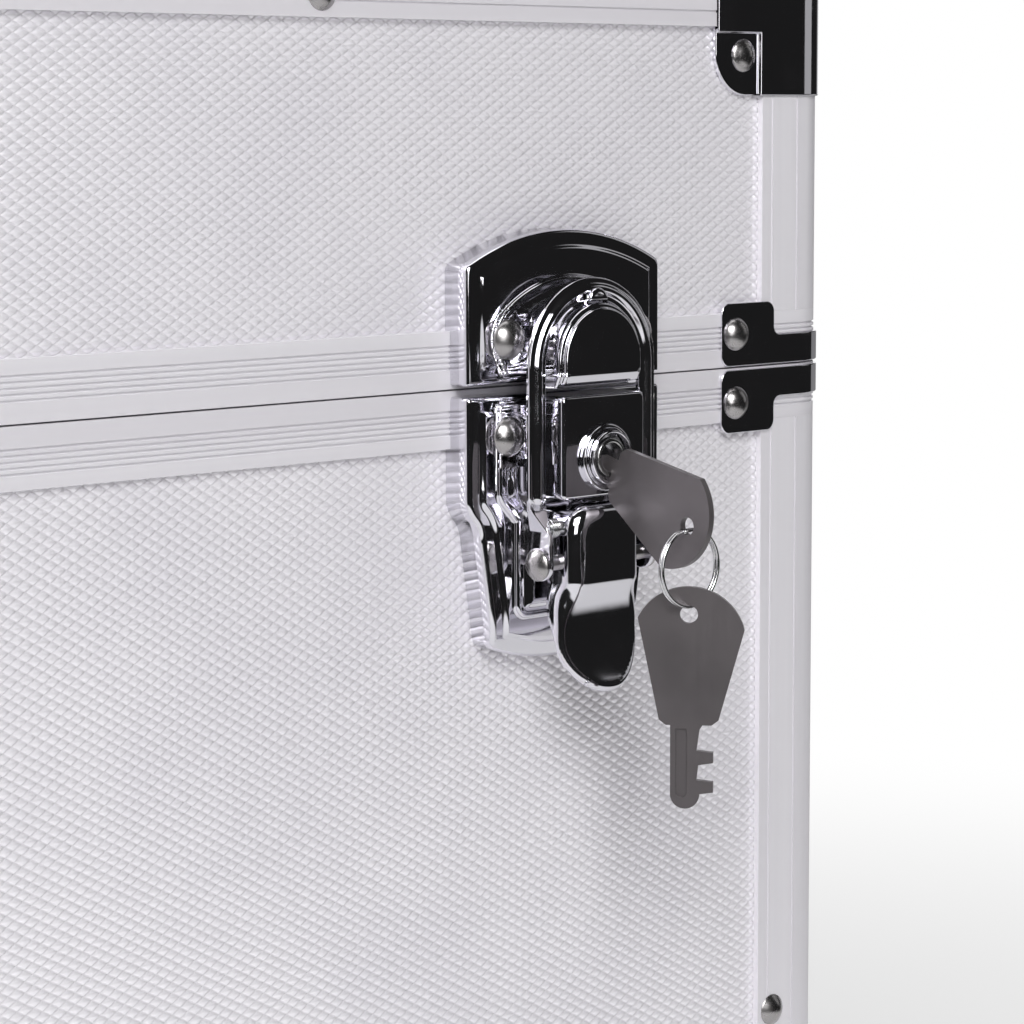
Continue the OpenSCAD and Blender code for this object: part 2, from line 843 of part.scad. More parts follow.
// Two ears that carry the lever's pivot pin.
module pivot_ears() {
  for (s = [-1, 1])
    translate([s * 7.7 - 0.5, pivot_v, 0]) {
      translate([0, -2.4, pan_n]) cube([1, 2.6, pivot_n - pan_n]);
      translate([0, 0, pivot_n]) rotate([0, 90, 0]) cylinder(h = 1, r = 1.9, $fn = 32);
    }
}

module pivot_pin() {
  translate([-pin_half, pivot_v, pivot_n])
    rotate([0, 90, 0]) cylinder(h = 2 * pin_half, r = pin_r, $fn = 32);
}

// ---------------------------------------------------------------- torsion spring

spring_wire = 0.34;
spring_r = 1.5;
spring_turns = 2;
spring_pitch = 0.77;
spring_rings = 8;
spring_sides = 6;

// Ring i of the spring's wire, round the pin's axis, which runs along x.
function coil_centre(i) =
  let (a = 360 * i / spring_rings)
    [spring_pitch * i / spring_rings, spring_r * cos(a), spring_r * sin(a)];
function coil_ring(i) =
  let (a = 360 * i / spring_rings, c = coil_centre(i))
    [for (j = [0:spring_sides - 1])
      let (b = 360 * j / spring_sides, r = spring_wire / 2 * cos(b))
        [c[0] + spring_wire / 2 * sin(b), c[1] + r * cos(a), c[2] + r * sin(a)]];

coil_last = spring_turns * spring_rings;
coil_gap = min([
  for (i = [0:coil_last - spring_rings])
    norm(coil_centre(i + spring_rings) - coil_centre(i)) - spring_wire
]);
echo(least_spring_gap = coil_gap);

// One unbroken coil, closed at both ends.
module coil() {
  n = spring_sides;
  points = [for (i = [0:coil_last]) each coil_ring(i)];
  walls = [
    for (i = [0:coil_last - 1], j = [0:n - 1])
      let (a = i * n + j, b = i * n + (j + 1) % n)
        each [[a, b, b + n], [a, b + n, a + n]]
  ];
  ends = [
    for (j = [1:n - 2]) each [
      [0, j + 1, j],
      [coil_last * n, coil_last * n + j, coil_last * n + j + 1]
    ]
  ];
  polyhedron(points, concat(walls, ends));
}

module spring_pair() {
  for (s = [0, 1])
    mirror([s, 0, 0]) translate([lever_hw + 0.3, pivot_v, pivot_n]) coil();
}

// ---------------------------------------------------------------- lever and loop

// Height of the lever's outer face at the depth v below the seam.
function lever_n(v) =
  let (d = max(0, v - lever_bend))
    lever_top_n - 0.5 * d + 0.0278 * d * d;

// Side view of the curved tongue: x is the depth below the seam, y the height.
module tongue_section() {
  steps = 22;
  line = [
    for (i = [0:steps])
      let (v = lever_bend + (lever_low - lever_bend) * i / steps) [v, lever_n(v)]
  ];
  outer = concat([[lever_top, lever_top_n]], line);
  inner = [for (i = [len(outer) - 1:-1:0]) outer[i] - [0, lever_t]];
  polygon(concat(outer, inner));
}

// Lever: a curved finger tongue with a rounded tip and two side flanges.
module lever() {
  intersection() {
    translate([-lever_hw, 0, 0])
      rotate([0, 90, 0])
        rotate(90)
          linear_extrude(2 * lever_hw)
            mirror([1, 0]) tongue_section();
    linear_extrude(40) {
      translate([-lever_hw, -lever_low + lever_hw]) square([2 * lever_hw, lever_low - lever_hw]);
      translate([0, -lever_low + lever_hw]) circle(lever_hw);
    }
  }
  for (s = [-1, 1])
    translate([s * (lever_hw - flange_t / 2) - flange_t / 2, 0, 0])
      rotate([90, 0, 90])
        linear_extrude(flange_t)
          difference() {
            union() {
              translate([-flange_end, link_n - flange_r])
                square([flange_end - lever_top, lever_top_n - link_n + flange_r - eps]);
              translate([-flange_end, link_n]) circle(flange_r, $fn = 32);
              translate([-flange_end - 2, link_n]) square([4, lever_top_n - link_n - eps]);
            }
            translate([pivot_v, pivot_n]) circle(pin_r + pin_play, $fn = 32);
          }
}

// Shouldered rivets that carry the loop on the lever's flanges.
module loop_rivets() {
  for (s = [0, 1])
    mirror([s, 0, 0])
      translate([lever_hw, link_v, link_n])
        rotate([0, 90, 0]) {
          cylinder(h = ear_near - lever_hw - 0.1, r = 2, $fn = 32);
          cylinder(h = ear_near + ear_t - lever_hw + 0.4, r = link_r, $fn = 32);
          translate([0, 0, ear_near + ear_t - lever_hw + 0.3]) rivet(6.6, 1.8);
        }
}

// Draw loop: an arched strap with a raised rib and a lug, its legs turned into ears.
module loop() {
  translate([0, 0, loop_n])
    linear_extrude(1)
      difference() {
        arch(loop_hw, -loop_leg_low, loop_top);
        arch(loop_hw - loop_strap, -loop_leg_low - 1, loop_top - loop_strap);
      }
  translate([0, 0, loop_n])
    linear_extrude(1.7)
      difference() {
        arch(loop_hw - 1.2, -loop_leg_low, loop_top - 1.2);
        arch(loop_hw - loop_strap + 1.2, -loop_leg_low - 1, loop_top - loop_strap + 1.2);
      }
  translate([-lug_hw, loop_top - loop_strap + eps, loop_n]) cube([2 * lug_hw, lug_v, lug_n]);
  for (s = [-1, 1])
    translate([s * (ear_near + ear_t / 2) - ear_t / 2, 0, 0])
      rotate([90, 0, 90])
        linear_extrude(ear_t)
          difference() {
            union() {
              translate([link_v, link_n - 2.8]) square([-loop_leg_low + 3 - link_v, 4.6]);
              translate([link_v, link_n]) circle(2.8, $fn = 40);
            }
            translate([link_v, link_n]) circle(link_r + 0.06, $fn = 40);
          }
}

// ---------------------------------------------------------------- lock and keys

plug_back = 11;
plug_face = 13.7;
plug_front = 15;

// Lock plug: a slotted disc in the bezel, with a half barrel behind it.
module lock_plug() {
  translate([0, lock_v, 0])
    difference() {
      translate([0, 0, plug_back]) cylinder(h = plug_front - plug_back, r = bore_r - plug_play);
      translate([-0.85, -3.9, plug_back - 1]) cube([1.7, 7.6, 10]);
      translate([-10 + 1.1, -10, plug_back - 1]) cube([10, 20, plug_face - plug_back + 1]);
    }
}

// Cam behind the plug, on the side away from the blade.
module lock_cam() {
  translate([0, lock_v, plug_back - 1])
    linear_extrude(1) {
      translate([1.1, -2]) square([5.5, 4]);
      translate([6.6, 0]) circle(2, $fn = 32);
    }
}

// Outline of a flat key: x along it from the shoulder, y across it.
module key_outline() {
  difference() {
    union() {
      polygon([
        [0, -bow_root_hw],
        [bow_corner, -bow_hw],
        [bow_corner, bow_hw],
        [0, bow_root_hw]
      ]);
      intersection() {
        translate([bow_long - bow_r, 0]) circle(bow_r);
        translate([bow_corner - 1, -bow_hw]) square([bow_r, 2 * bow_hw]);
      }
      translate([-blade_long + blade_hw, blade_shift - blade_hw])
        square([blade_long - blade_hw + eps, 2 * blade_hw]);
      translate([-blade_long + blade_hw, blade_shift]) circle(blade_hw, $fn = 40);
      for (a = [-6.7, -11.8]) translate([a, 0]) square([1.7, 4.5]);
    }
    translate([key_hole_a, 0]) circle(key_hole_r, $fn = 40);
  }
}

// Flat steel key with a milled groove on both faces.
module key_blank() {
  difference() {
    translate([0, 0, -key_t / 2]) linear_extrude(key_t) key_outline();
    for (s = [-1, 1])
      translate([-12, blade_shift - 1.4, s * key_t / 2 - 0.3]) cube([11.4, 0.8, 0.6]);
  }
}

// Key in the right lock, drooping from the keyhole with its bits down.
module key() {
  color(nickel)
    at_latch(1)
      translate([0, key_v, key_n])
        rotate([key_droop, 0, 0])
          rotate([0, -90, 0]) rotate([180, 0, 0]) key_blank();
}

// Split ring of two turns, one in front of the other, hanging through the key.
module split_ring() {
  color(steel)
    at_latch(1)
      translate([0, ring_top_v - ring_d / 2, key_hole_n])
        for (s = [-1, 1])
          translate([0, 0, s * ring_wire * 0.49])
            rotate([0, 0, 90 + s * 6])
              rotate_extrude(angle = 352, $fn = 64)
                translate([ring_d / 2, 0]) circle(ring_wire / 2, $fn = 16);
}

// Spare key, hanging blade down from the ring.
module spare_key() {
  color(nickel)
    at_latch(1)
      translate([0, spare_hole_v, key_hole_n])
        rotate([0, spare_turn - 90, 0])
          rotate([0, 0, 90])
            translate([-key_hole_a, 0, 0]) mirror([0, 1, 0]) key_blank();
}

// ---------------------------------------------------------------- latch nodes

module catch_plate_right() color(chrome) at_latch(1) catch_plate();
module catch_plate_left() color(chrome) at_latch(-1) catch_plate();
module latch_plate_right() color(chrome) at_latch(1) latch_plate();
module latch_plate_left() color(chrome) at_latch(-1) latch_plate();
module pivot_pin_right() color(steel) at_latch(1) pivot_pin();
module pivot_pin_left() color(steel) at_latch(-1) pivot_pin();
module spring_right() color(steel) at_latch(1) spring_pair();
module spring_left() color(steel) at_latch(-1) spring_pair();
module lever_right() color(chrome) at_latch(1) lever();
module lever_left() color(chrome) at_latch(-1) lever();
module loop_rivets_right() color(steel) at_latch(1) loop_rivets();
module loop_rivets_left() color(steel) at_latch(-1) loop_rivets();
module loop_right() color(chrome) at_latch(1) loop();
module loop_left() color(chrome) at_latch(-1) loop();
module lock_plug_right() color(steel) at_latch(1) lock_plug();
module lock_plug_left() color(steel) at_latch(-1) lock_plug();
module lock_cam_right() color(steel) at_latch(1) lock_cam();
module lock_cam_left() color(steel) at_latch(-1) lock_cam();

module latch_rivet_set(v, n) {
  color(steel)
    for (side = [-1, 1], s = [-1, 1])
      at_latch(side)
        translate([s * latch_rivet_u, v, n]) {
          rivet(latch_rivet_d, 2.2);
          translate([0, 0, -n]) cylinder(h = n + eps, r = 1.6, $fn = 24);
        }
}

module latch_rivets_base() latch_rivet_set(-7.9, plate_floor_n);
module latch_rivets_lid() latch_rivet_set(8.8, catch_floor_n);

// ---------------------------------------------------------------- drawing

base_front_panel();
base_right_panel();
base_back_panel();
base_left_panel();
base_floor_panel();
base_upright_profiles();
base_bottom_profiles();
base_closure_band();
base_corner_caps();
base_braces();
base_rivets();
base_lining();
feet();
foot_screws();
lid_top_panel();
lid_front_panel();
lid_right_panel();
lid_back_panel();
lid_left_panel();
lid_upright_profiles();
lid_top_profiles();
lid_closure_band();
lid_corner_caps();
lid_braces();
lid_rivets();
lid_lining();
hinge_base_leaves();
hinge_lid_leaves();
hinge_pins();
handle_brackets();
handle_bail();
handle_grip();
catch_plate_right();
latch_plate_right();
pivot_pin_right();
spring_right();
lever_right();
loop_rivets_right();
loop_right();
lock_plug_right();
lock_cam_right();
catch_plate_left();
latch_plate_left();
pivot_pin_left();
spring_left();
lever_left();
loop_rivets_left();
loop_left();
lock_plug_left();
lock_cam_left();
latch_rivets_base();
latch_rivets_lid();
key();
split_ring();
spare_key();
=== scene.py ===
"""Looks of the record carrying case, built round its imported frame.

The case is a boxed base and a hinged lid in embossed metal-faced panel, edged with aluminium
profiles, with chrome corner caps and two chrome draw latches, one of them with its keys.

Sizes are written in millimetres and turned into metres by MM. A latch is modelled in its own
coordinates: u to the right across it, v up from the seam, and n outwards from the case.
"""

from __future__ import annotations

import json
import logging
import math
from dataclasses import dataclass
from enum import Enum
from typing import Callable, Iterable, Mapping, Sequence

import bmesh
import bpy
from mathutils import Matrix, Vector

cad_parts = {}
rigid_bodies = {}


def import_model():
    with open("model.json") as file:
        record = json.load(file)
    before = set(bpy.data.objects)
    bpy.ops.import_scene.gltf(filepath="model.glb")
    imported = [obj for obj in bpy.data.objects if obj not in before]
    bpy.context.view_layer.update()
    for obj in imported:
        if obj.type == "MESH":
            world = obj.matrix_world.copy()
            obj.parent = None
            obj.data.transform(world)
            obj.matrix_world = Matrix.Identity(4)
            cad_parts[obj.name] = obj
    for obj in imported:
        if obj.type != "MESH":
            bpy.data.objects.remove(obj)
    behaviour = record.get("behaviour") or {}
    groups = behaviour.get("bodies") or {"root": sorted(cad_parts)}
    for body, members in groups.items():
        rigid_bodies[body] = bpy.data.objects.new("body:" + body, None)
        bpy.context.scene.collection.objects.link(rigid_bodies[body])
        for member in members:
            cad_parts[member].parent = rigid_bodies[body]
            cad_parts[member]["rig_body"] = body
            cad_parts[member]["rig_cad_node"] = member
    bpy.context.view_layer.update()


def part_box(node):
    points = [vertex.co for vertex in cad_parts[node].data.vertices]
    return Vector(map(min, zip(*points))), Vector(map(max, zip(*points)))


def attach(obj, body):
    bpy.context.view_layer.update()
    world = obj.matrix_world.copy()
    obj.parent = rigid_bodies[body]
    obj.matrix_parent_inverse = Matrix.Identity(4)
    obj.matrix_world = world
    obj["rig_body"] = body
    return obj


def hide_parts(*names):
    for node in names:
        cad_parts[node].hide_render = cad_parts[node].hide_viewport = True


LOG = logging.getLogger("carrying_case")
MM = 0.001
Mesh = bmesh.types.BMesh
Vert = bmesh.types.BMVert
Edge = bmesh.types.BMEdge
Face = bmesh.types.BMFace
Object = bpy.types.Object
NodeSocket = bpy.types.NodeSocket
shift = Matrix.Translation
Colour = tuple[float, float, float, float]
PROFILE_RADIUS = 12.0  # the round of the edge profiles
TONGUE = 3.0  # how far the base's closure band reaches over the seam


# ------------------------------------------------------------------ shader expressions


class Value:
    """A number in a material's node tree. Its operators add Math nodes."""

    def __init__(self, tree: Tree, socket: NodeSocket) -> None:
        """Wraps one output socket of a tree."""
        self.tree = tree
        self.socket = socket

    def _math(self, operation: str, *terms: Value | float) -> Value:
        """Adds one Math node.

        Args:
            operation: Blender's name of the operation.
            terms: The inputs, in order.

        Returns:
            The node's result.
        """
        made = self.tree.add("ShaderNodeMath", {"operation": operation}, dict(enumerate(terms)))
        return Value(self.tree, made.outputs[0])

    def __add__(self, other: Value | float) -> Value:
        """The sum."""
        return self._math("ADD", self, other)

    __radd__ = __add__

    def __sub__(self, other: Value | float) -> Value:
        """The difference."""
        return self._math("SUBTRACT", self, other)

    def __rsub__(self, other: Value | float) -> Value:
        """The difference, with this value taken away."""
        return self._math("SUBTRACT", other, self)

    def __mul__(self, other: Value | float) -> Value:
        """The product."""
        return self._math("MULTIPLY", self, other)

    __rmul__ = __mul__

    def __truediv__(self, other: Value | float) -> Value:
        """The quotient."""
        return self._math("DIVIDE", self, other)

    def __pow__(self, other: Value | float) -> Value:
        """This value raised to a power."""
        return self._math("POWER", self, other)

    def __gt__(self, other: Value | float) -> Value:
        """One where this value is the larger, else zero."""
        return self._math("GREATER_THAN", self, other)

    def __abs__(self) -> Value:
        """The size of this value without its sign."""
        return self._math("ABSOLUTE", self)

    def larger(self, other: Value | float) -> Value:
        """The larger of the two values."""
        return self._math("MAXIMUM", self, other)

    def ramp(self, low: float, high: float) -> Value:
        """A smooth rise from 0 at low to 1 at high.

        Args:
            low: The value at which the rise starts.
            high: The value at which it ends.

        Returns:
            The smoothed share, between 0 and 1.
        """
        made = self.tree.add(
            "ShaderNodeMapRange",
            {"interpolation_type": "SMOOTHSTEP"},
            {"Value": self, "From Min": low, "From Max": high},
        )
        return Value(self.tree, made.outputs["Result"])


class Tree:
    """A node tree that is written as expressions."""

    def __init__(self, nodes: bpy.types.NodeTree) -> None:
        """Clears the tree and takes it over."""
        self.nodes = nodes
        nodes.nodes.clear()

    def add(
        self,
        kind: str,
        settings: Mapping[str, object] | None = None,
        values: Mapping[str | int, object] | None = None,
    ) -> bpy.types.Node:
        """Adds one node.

        Args:
            kind: The node's type.
            settings: Properties of the node, set first.
            values: For each input, by name or place, a Value, a socket or a plain value.

        Returns:
            The new node.
        """
        node = self.nodes.nodes.new(kind)
        for name, value in (settings or {}).items():
            setattr(node, name, value)
        for key, value in (values or {}).items():
            if isinstance(value, Value):
                self.nodes.links.new(value.socket, node.inputs[key])
            elif isinstance(value, NodeSocket):
                self.nodes.links.new(value, node.inputs[key])
            else:
                node.inputs[key].default_value = value
        return node

    def value(self, node: bpy.types.Node, output: str | int = 0) -> Value:
        """One output of a node as a value."""
        return Value(self, node.outputs[output])

    def place(self) -> NodeSocket:
        """The surface point in the piece's own coordinates, in metres."""
        return self.add("ShaderNodeTexCoord").outputs["Object"]

    def axes(self) -> tuple[Value, Value, Value]:
        """The surface point's x, y and z."""
        split = self.add("ShaderNodeSeparateXYZ", None, {0: self.place()})
        return self.value(split, 0), self.value(split, 1), self.value(split, 2)

    def noise(self, scale: float, detail: float = 2.0, stretch: Sequence[float] = (1, 1, 1)) -> Value:
        """Even noise on the object's coordinates.

        Args:
            scale: Features per metre.
            detail: The number of finer octaves.
            stretch: How often the pattern repeats along x, y and z.

        Returns:
            The noise, near 0.5.
        """
        mapped = self.add("ShaderNodeMapping", None, {"Vector": self.place(), "Scale": stretch})
        made = self.add(
            "ShaderNodeTexNoise", None, {"Vector": mapped.outputs[0], "Scale": scale, "Detail": detail}
        )
        return self.value(made, "Fac")

    def blend(self, share: Value | float, first: object, second: object) -> NodeSocket:
        """A colour between two colours.

        Args:
            share: 0 for the first colour, 1 for the second.
            first: A colour or a colour socket.
            second: A colour or a colour socket.

        Returns:
            The mixed colour.
        """
        node = self.add("ShaderNodeMix", {"data_type": "RGBA"}, {0: share, 6: first, 7: second})
        return node.outputs[2]

    def bump(self, height: Value, depth: float, strength: float = 1.0) -> NodeSocket:
        """A normal tilted by a height.

        Args:
            height: The height, as a share of depth.
            depth: The full height in metres.
            strength: How much of the tilt is used.

        Returns:
            The tilted normal.
        """
        values = {"Strength": strength, "Distance": depth, "Height": height}
        return self.add("ShaderNodeBump", None, values).outputs[0]

    def surface(self, **inputs: object) -> None:
        """Ends the tree in a Principled shader.

        Args:
            inputs: The shader's inputs by name, with _ for a space.
        """
        values = {name.replace("_", " "): value for name, value in inputs.items()}
        shader = self.add("ShaderNodeBsdfPrincipled", None, values)
        self.add("ShaderNodeOutputMaterial", None, {"Surface": shader.outputs[0]})


# ------------------------------------------------------------------ finishes


@dataclass(frozen=True)
class Finish:
    """A surface finish: one material, made once and shared by its pieces."""

    name: str
    slot: str

    def shade(self, tree: Tree) -> None:
        """Builds the finish's shader in a tree."""
        raise NotImplementedError

    def material(self) -> bpy.types.Material:
        """The finish's material, made on the first call."""
        label = f"{self.name}_finish"
        found = bpy.data.materials.get(label)
        if found is None:
            found = bpy.data.materials.new(label)
            found.use_nodes = True
            self.shade(Tree(found.node_tree))
        return found


@dataclass(frozen=True)
class EmbossedSheet(Finish):
    """Rolled aluminium foil with a satin, faintly clouded sheen."""

    colour: Colour = (0.93, 0.91, 0.95, 1)
    dull: Colour = (0.88, 0.86, 0.905, 1)

    def shade(self, tree: Tree) -> None:
        """Clouded silver with fine tooth marks."""
        cloud = tree.noise(28, 3)
        grain = tree.noise(1900, 2)
        tree.surface(
            Base_Color=tree.blend(cloud.ramp(0.35, 0.7), self.colour, self.dull),
            Metallic=0.4,
            Roughness=cloud * 0.08 + grain * 0.10 + 0.27,
            Normal=tree.bump(grain, 0.02 * MM, 0.5),
        )


@dataclass(frozen=True)
class DrawnAluminium(Finish):
    """Anodised aluminium with fine drawing lines along each length of profile."""

    colour: Colour = (0.74, 0.72, 0.76, 1)
    bright: Colour = (0.81, 0.795, 0.83, 1)
    upright: bool = False
    half_gap: tuple[float, float] = (0.18, 0.115)
    middle: float = 0.0

    def shade(self, tree: Tree) -> None:
        """Silver streaked along the piece."""
        along, fine = (2.0, 900.0)
        if self.upright:
            streak = tree.noise(1, 3, (fine, fine, along))
            coarse = tree.noise(1, 2, (fine / 5, fine / 5, along / 2))
        else:
            x, y, _ = tree.axes()
            on_front = (abs(y - self.middle) - self.half_gap[1]) > (abs(x) - self.half_gap[0])
            streak = self._either(tree, on_front, fine, along)
            coarse = self._either(tree, on_front, fine / 5, along / 2)
        tree.surface(
            Base_Color=tree.blend(coarse.ramp(0.3, 0.75), self.colour, self.bright),
            Metallic=0.3,
            Roughness=streak * 0.16 + 0.3,
            Normal=tree.bump(streak, 0.012 * MM, 0.6),
        )

    @staticmethod
    def _either(tree: Tree, on_front: Value, fine: float, along: float) -> Value:
        """Streaks along x where on_front is one, and along y elsewhere."""
        wide = tree.noise(1, 3, (along, fine, fine))
        deep = tree.noise(1, 3, (fine, along, fine))
        return wide * on_front + deep * (1 - on_front)


@dataclass(frozen=True)
class Plating(Finish):
    """Bright plating over pressed steel, with faint smudges and a slight orange peel."""

    colour: Colour = (0.80, 0.79, 0.84, 1)
    roughness: float = 0.06
    smudge: float = 0.06
    ripple: float = 0.015

    def shade(self, tree: Tree) -> None:
        """Mirror metal with uneven polish."""
        cloud = tree.noise(120, 3)
        speck = tree.noise(2600, 1)
        peel = tree.noise(420, 1)
        smudges = cloud.ramp(0.45, 0.75) * self.smudge
        tree.surface(
            Base_Color=self.colour,
            Metallic=1.0,
            Roughness=smudges + speck.ramp(0.62, 0.8) * 0.05 + self.roughness,
            Normal=tree.bump(peel, self.ripple * MM, 0.5),
        )


@dataclass(frozen=True)
class BrushedSteel(Finish):
    """Satin steel or nickel, brushed along one direction."""

    colour: Colour = (0.14, 0.128, 0.133, 1)
    roughness: float = 0.3
    stretch: tuple[float, float, float] = (1500.0, 1500.0, 60.0)

    def shade(self, tree: Tree) -> None:
        """Satin metal with fine brushing."""
        brush = tree.noise(1, 2, self.stretch)
        cloud = tree.noise(90, 2)
        darker = (*(0.82 * c for c in self.colour[:3]), 1)
        tree.surface(
            Base_Color=tree.blend(cloud.ramp(0.3, 0.8), self.colour, darker),
            Metallic=0.6,
            Roughness=brush * 0.12 + self.roughness,
            Normal=tree.bump(brush, 0.01 * MM, 0.5),
        )


@dataclass(frozen=True)
class Moulding(Finish):
    """Moulded rubber, plastic or foam: matt and finely grained."""

    colour: Colour = (0.02, 0.02, 0.022, 1)
    roughness: float = 0.55
    grain: float = 1200.0
    relief: float = 0.06

    def shade(self, tree: Tree) -> None:
        """Grained dark moulding."""
        grain = tree.noise(self.grain, 3)
        paler = (*(1.6 * c for c in self.colour[:3]), 1)
        tree.surface(
            Base_Color=tree.blend(tree.noise(60, 2).ramp(0.4, 0.8), self.colour, paler),
            Roughness=grain * 0.15 + self.roughness,
            Normal=tree.bump(grain, self.relief * MM, 0.7),
        )


# ------------------------------------------------------------------ the case's own frame


@dataclass(frozen=True)
class CaseFrame:
    """The case's main levels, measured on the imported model, in metres."""

    low: Vector
    high: Vector
    seam: float
    latch_x: float

    @classmethod
    def measure(cls) -> CaseFrame:
        """Reads the levels from the closure band and a latch plate."""
        band_low, band_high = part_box("base_closure_band")
        plate_low, plate_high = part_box("latch_plate_right")
        return cls(band_low, band_high, band_high.z - TONGUE * MM, (plate_low.x + plate_high.x) / 2)

    @property
    def middle_y(self) -> float:
        """The middle of the case from front to back."""
        return (self.low.y + self.high.y) / 2

    def latch(self, side: int) -> Matrix:
        """The transform from a latch's millimetres to the frame.

        Args:
            side: 1 for the right latch, -1 for the left one.

        Returns:
            The matrix that takes (u, v, n) to (x, y, z).
        """
        turn = Matrix(((1, 0, 0), (0, 0, -1), (0, 1, 0))).to_4x4()
        at = Vector((side * self.latch_x, self.low.y, self.seam))
        return shift(at) @ turn @ Matrix.Scale(MM, 4)


# ------------------------------------------------------------------ making pieces


def placed(name: str, data: bpy.types.ID) -> Object:
    """Makes an object from its data and links it to the scene."""
    made = bpy.data.objects.new(name, data)
    bpy.context.scene.collection.objects.link(made)
    return made


def add_piece(
    name: str, mesh: Mesh, finish: Finish, body: str, replaced: Iterable[str] = ()
) -> Object:
    """Makes a piece of the object from a finished bmesh.

    Args:
        name: The piece's name.
        mesh: Its shape in the frame, in metres. It is freed.
        finish: The piece's finish.
        body: The body that it moves with.
        replaced: The nodes that it stands for.

    Returns:
        The new object.
    """
    data = bpy.data.meshes.new(name)
    mesh.to_mesh(data)
    mesh.free()
    piece = placed(name, data)
    data.materials.append(finish.material())
    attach(piece, body)
    if replaced:
        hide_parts(*replaced)
    LOG.info("%s: %d faces, on %s", name, len(data.polygons), body)
    return piece


def smooth(mesh: Mesh) -> None:
    """Shades every face of a mesh smooth."""
    for face in mesh.faces:
        face.smooth = True


def weld(mesh: Mesh, reach: float = 1e-4) -> None:
    """Merges vertices that lie within reach of each other."""
    bmesh.ops.remove_doubles(mesh, verts=mesh.verts, dist=reach)


def face_out(mesh: Mesh) -> None:
    """Turns every face of a closed shape outwards."""
    bmesh.ops.recalc_face_normals(mesh, faces=mesh.faces)


def only(kind: type, geom: Iterable[object]) -> list:
    """The elements of one kind among an operator's results."""
    return [element for element in geom if isinstance(element, kind)]


def grow(mesh: Mesh, edges: Sequence[Edge]) -> tuple[list[Vert], list[Edge]]:
    """Extrudes edges, and returns the new vertices and the new edges."""
    geom = bmesh.ops.extrude_edge_only(mesh, edges=edges)["geom"]
    return only(Vert, geom), only(Edge, geom)


def open_rim(mesh: Mesh) -> list[Edge]:
    """The edges along an open shape's rim."""
    return [edge for edge in mesh.edges if edge.is_boundary]


def cut(mesh: Mesh, at: Sequence[float], out: Sequence[float], drop: bool = True) -> None:
    """Cuts a shape along a plane.

    Args:
        mesh: The shape.
        at: A point of the plane.
        out: The plane's normal.
        drop: True to drop what lies beyond the plane.
    """
    geom = mesh.verts[:] + mesh.edges[:] + mesh.faces[:]
    bmesh.ops.bisect_plane(mesh, geom=geom, plane_co=at, plane_no=out, clear_outer=drop)


def bevelled(mesh: Mesh, geom: Sequence[object], width: float, segments: int, affect: str) -> None:
    """Bevels edges or corners with a round profile.

    Args:
        mesh: The shape.
        geom: The edges or vertices.
        width: How far the rounding reaches.
        segments: The number of faces across it.
        affect: EDGES or VERTICES.
    """
    bmesh.ops.bevel(
        mesh,
        geom=geom,
        offset=width,
        offset_type="OFFSET",
        segments=segments,
        profile=0.5,
        affect=affect,
        clamp_overlap=True,
        material=-1,
    )


@dataclass(frozen=True)
class Dressing:
    """How a node's own shape is finished: its edges are broken and its faces smoothed."""

    node: str
    body: str
    finish: Finish
    edge: float = 0.25
    steps: int = 2
    thinned: float = 0.0

    def _thin(self, mesh: Mesh, case: CaseFrame) -> None:
        """Sets the outer side of a folded sheet back towards the case, also round its edges."""
        radius = PROFILE_RADIUS * MM
        middle = (case.low + case.high) / 2
        half = (case.high - case.low) / 2 - Vector((radius, radius, 0))
        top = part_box("lid_top_profiles")[1].z - radius
        for vert in mesh.verts:
            away = vert.co - middle
            past = Vector(
                (
                    math.copysign(max(0.0, abs(away.x) - half.x), away.x),
                    math.copysign(max(0.0, abs(away.y) - half.y), away.y),
                    max(0.0, vert.co.z - top),
                )
            )
            proud = past.length - radius
            if proud > 0:
                vert.co -= past.normalized() * self.thinned * MM * ease(proud / MM, 0.0, 0.9)

    def apply(self, case: CaseFrame) -> Object:
        """Makes the dressed copy of the node.

        Args:
            case: The case's levels.

        Returns:
            The piece that stands for the node.
        """
        source = bpy.data.objects[self.node]
        mesh = bmesh.new()
        mesh.from_mesh(source.data)
        weld(mesh, 0.002 * MM)
        bmesh.ops.dissolve_limit(
            mesh, angle_limit=math.radians(0.2), verts=mesh.verts, edges=mesh.edges
        )
        if self.thinned:
            self._thin(mesh, case)
        smooth(mesh)
        piece = add_piece(f"dressed_{self.node}", mesh, self.finish, self.body, [self.node])
        bevel = piece.modifiers.new("broken_edges", "BEVEL")
        bevel.width = self.edge * MM
        bevel.segments = self.steps
        bevel.limit_method = "ANGLE"
        bevel.angle_limit = math.radians(35)
        weights = piece.modifiers.new("flat_faces", "WEIGHTED_NORMAL")
        weights.weight = 60
        return piece


# ------------------------------------------------------------------ shaping sheet metal


Step = tuple[float, float]
RING = 0.15  # the widest ring of a pressed shape, and the shortest edge kept in it


def arc_steps(radius: float, count: int, hollow: bool) -> list[Step]:
    """A quarter round as steps of inset and rise.

    Args:
        radius: The round's radius.
        count: The number of steps.
        hollow: True for the hollow at the foot of a wall, False for the shoulder at its top.

    Returns:
        One (inset, rise) for each step.
    """
    made = []
    for i in range(count):
        a, b = (math.radians(90 * k / count) for k in (i, i + 1))
        long, short = math.sin(b) - math.sin(a), math.cos(a) - math.cos(b)
        made.append((radius * long, radius * short) if hollow else (radius * short, radius * long))
    return made


def swell(width: float, rise: float, count: int) -> list[Step]:
    """A smooth S-shaped rise as steps of inset and rise."""
    heights = [rise * (1 - math.cos(math.pi * i / count)) / 2 for i in range(count + 1)]
    return [(width / count, b - a) for a, b in zip(heights, heights[1:])]


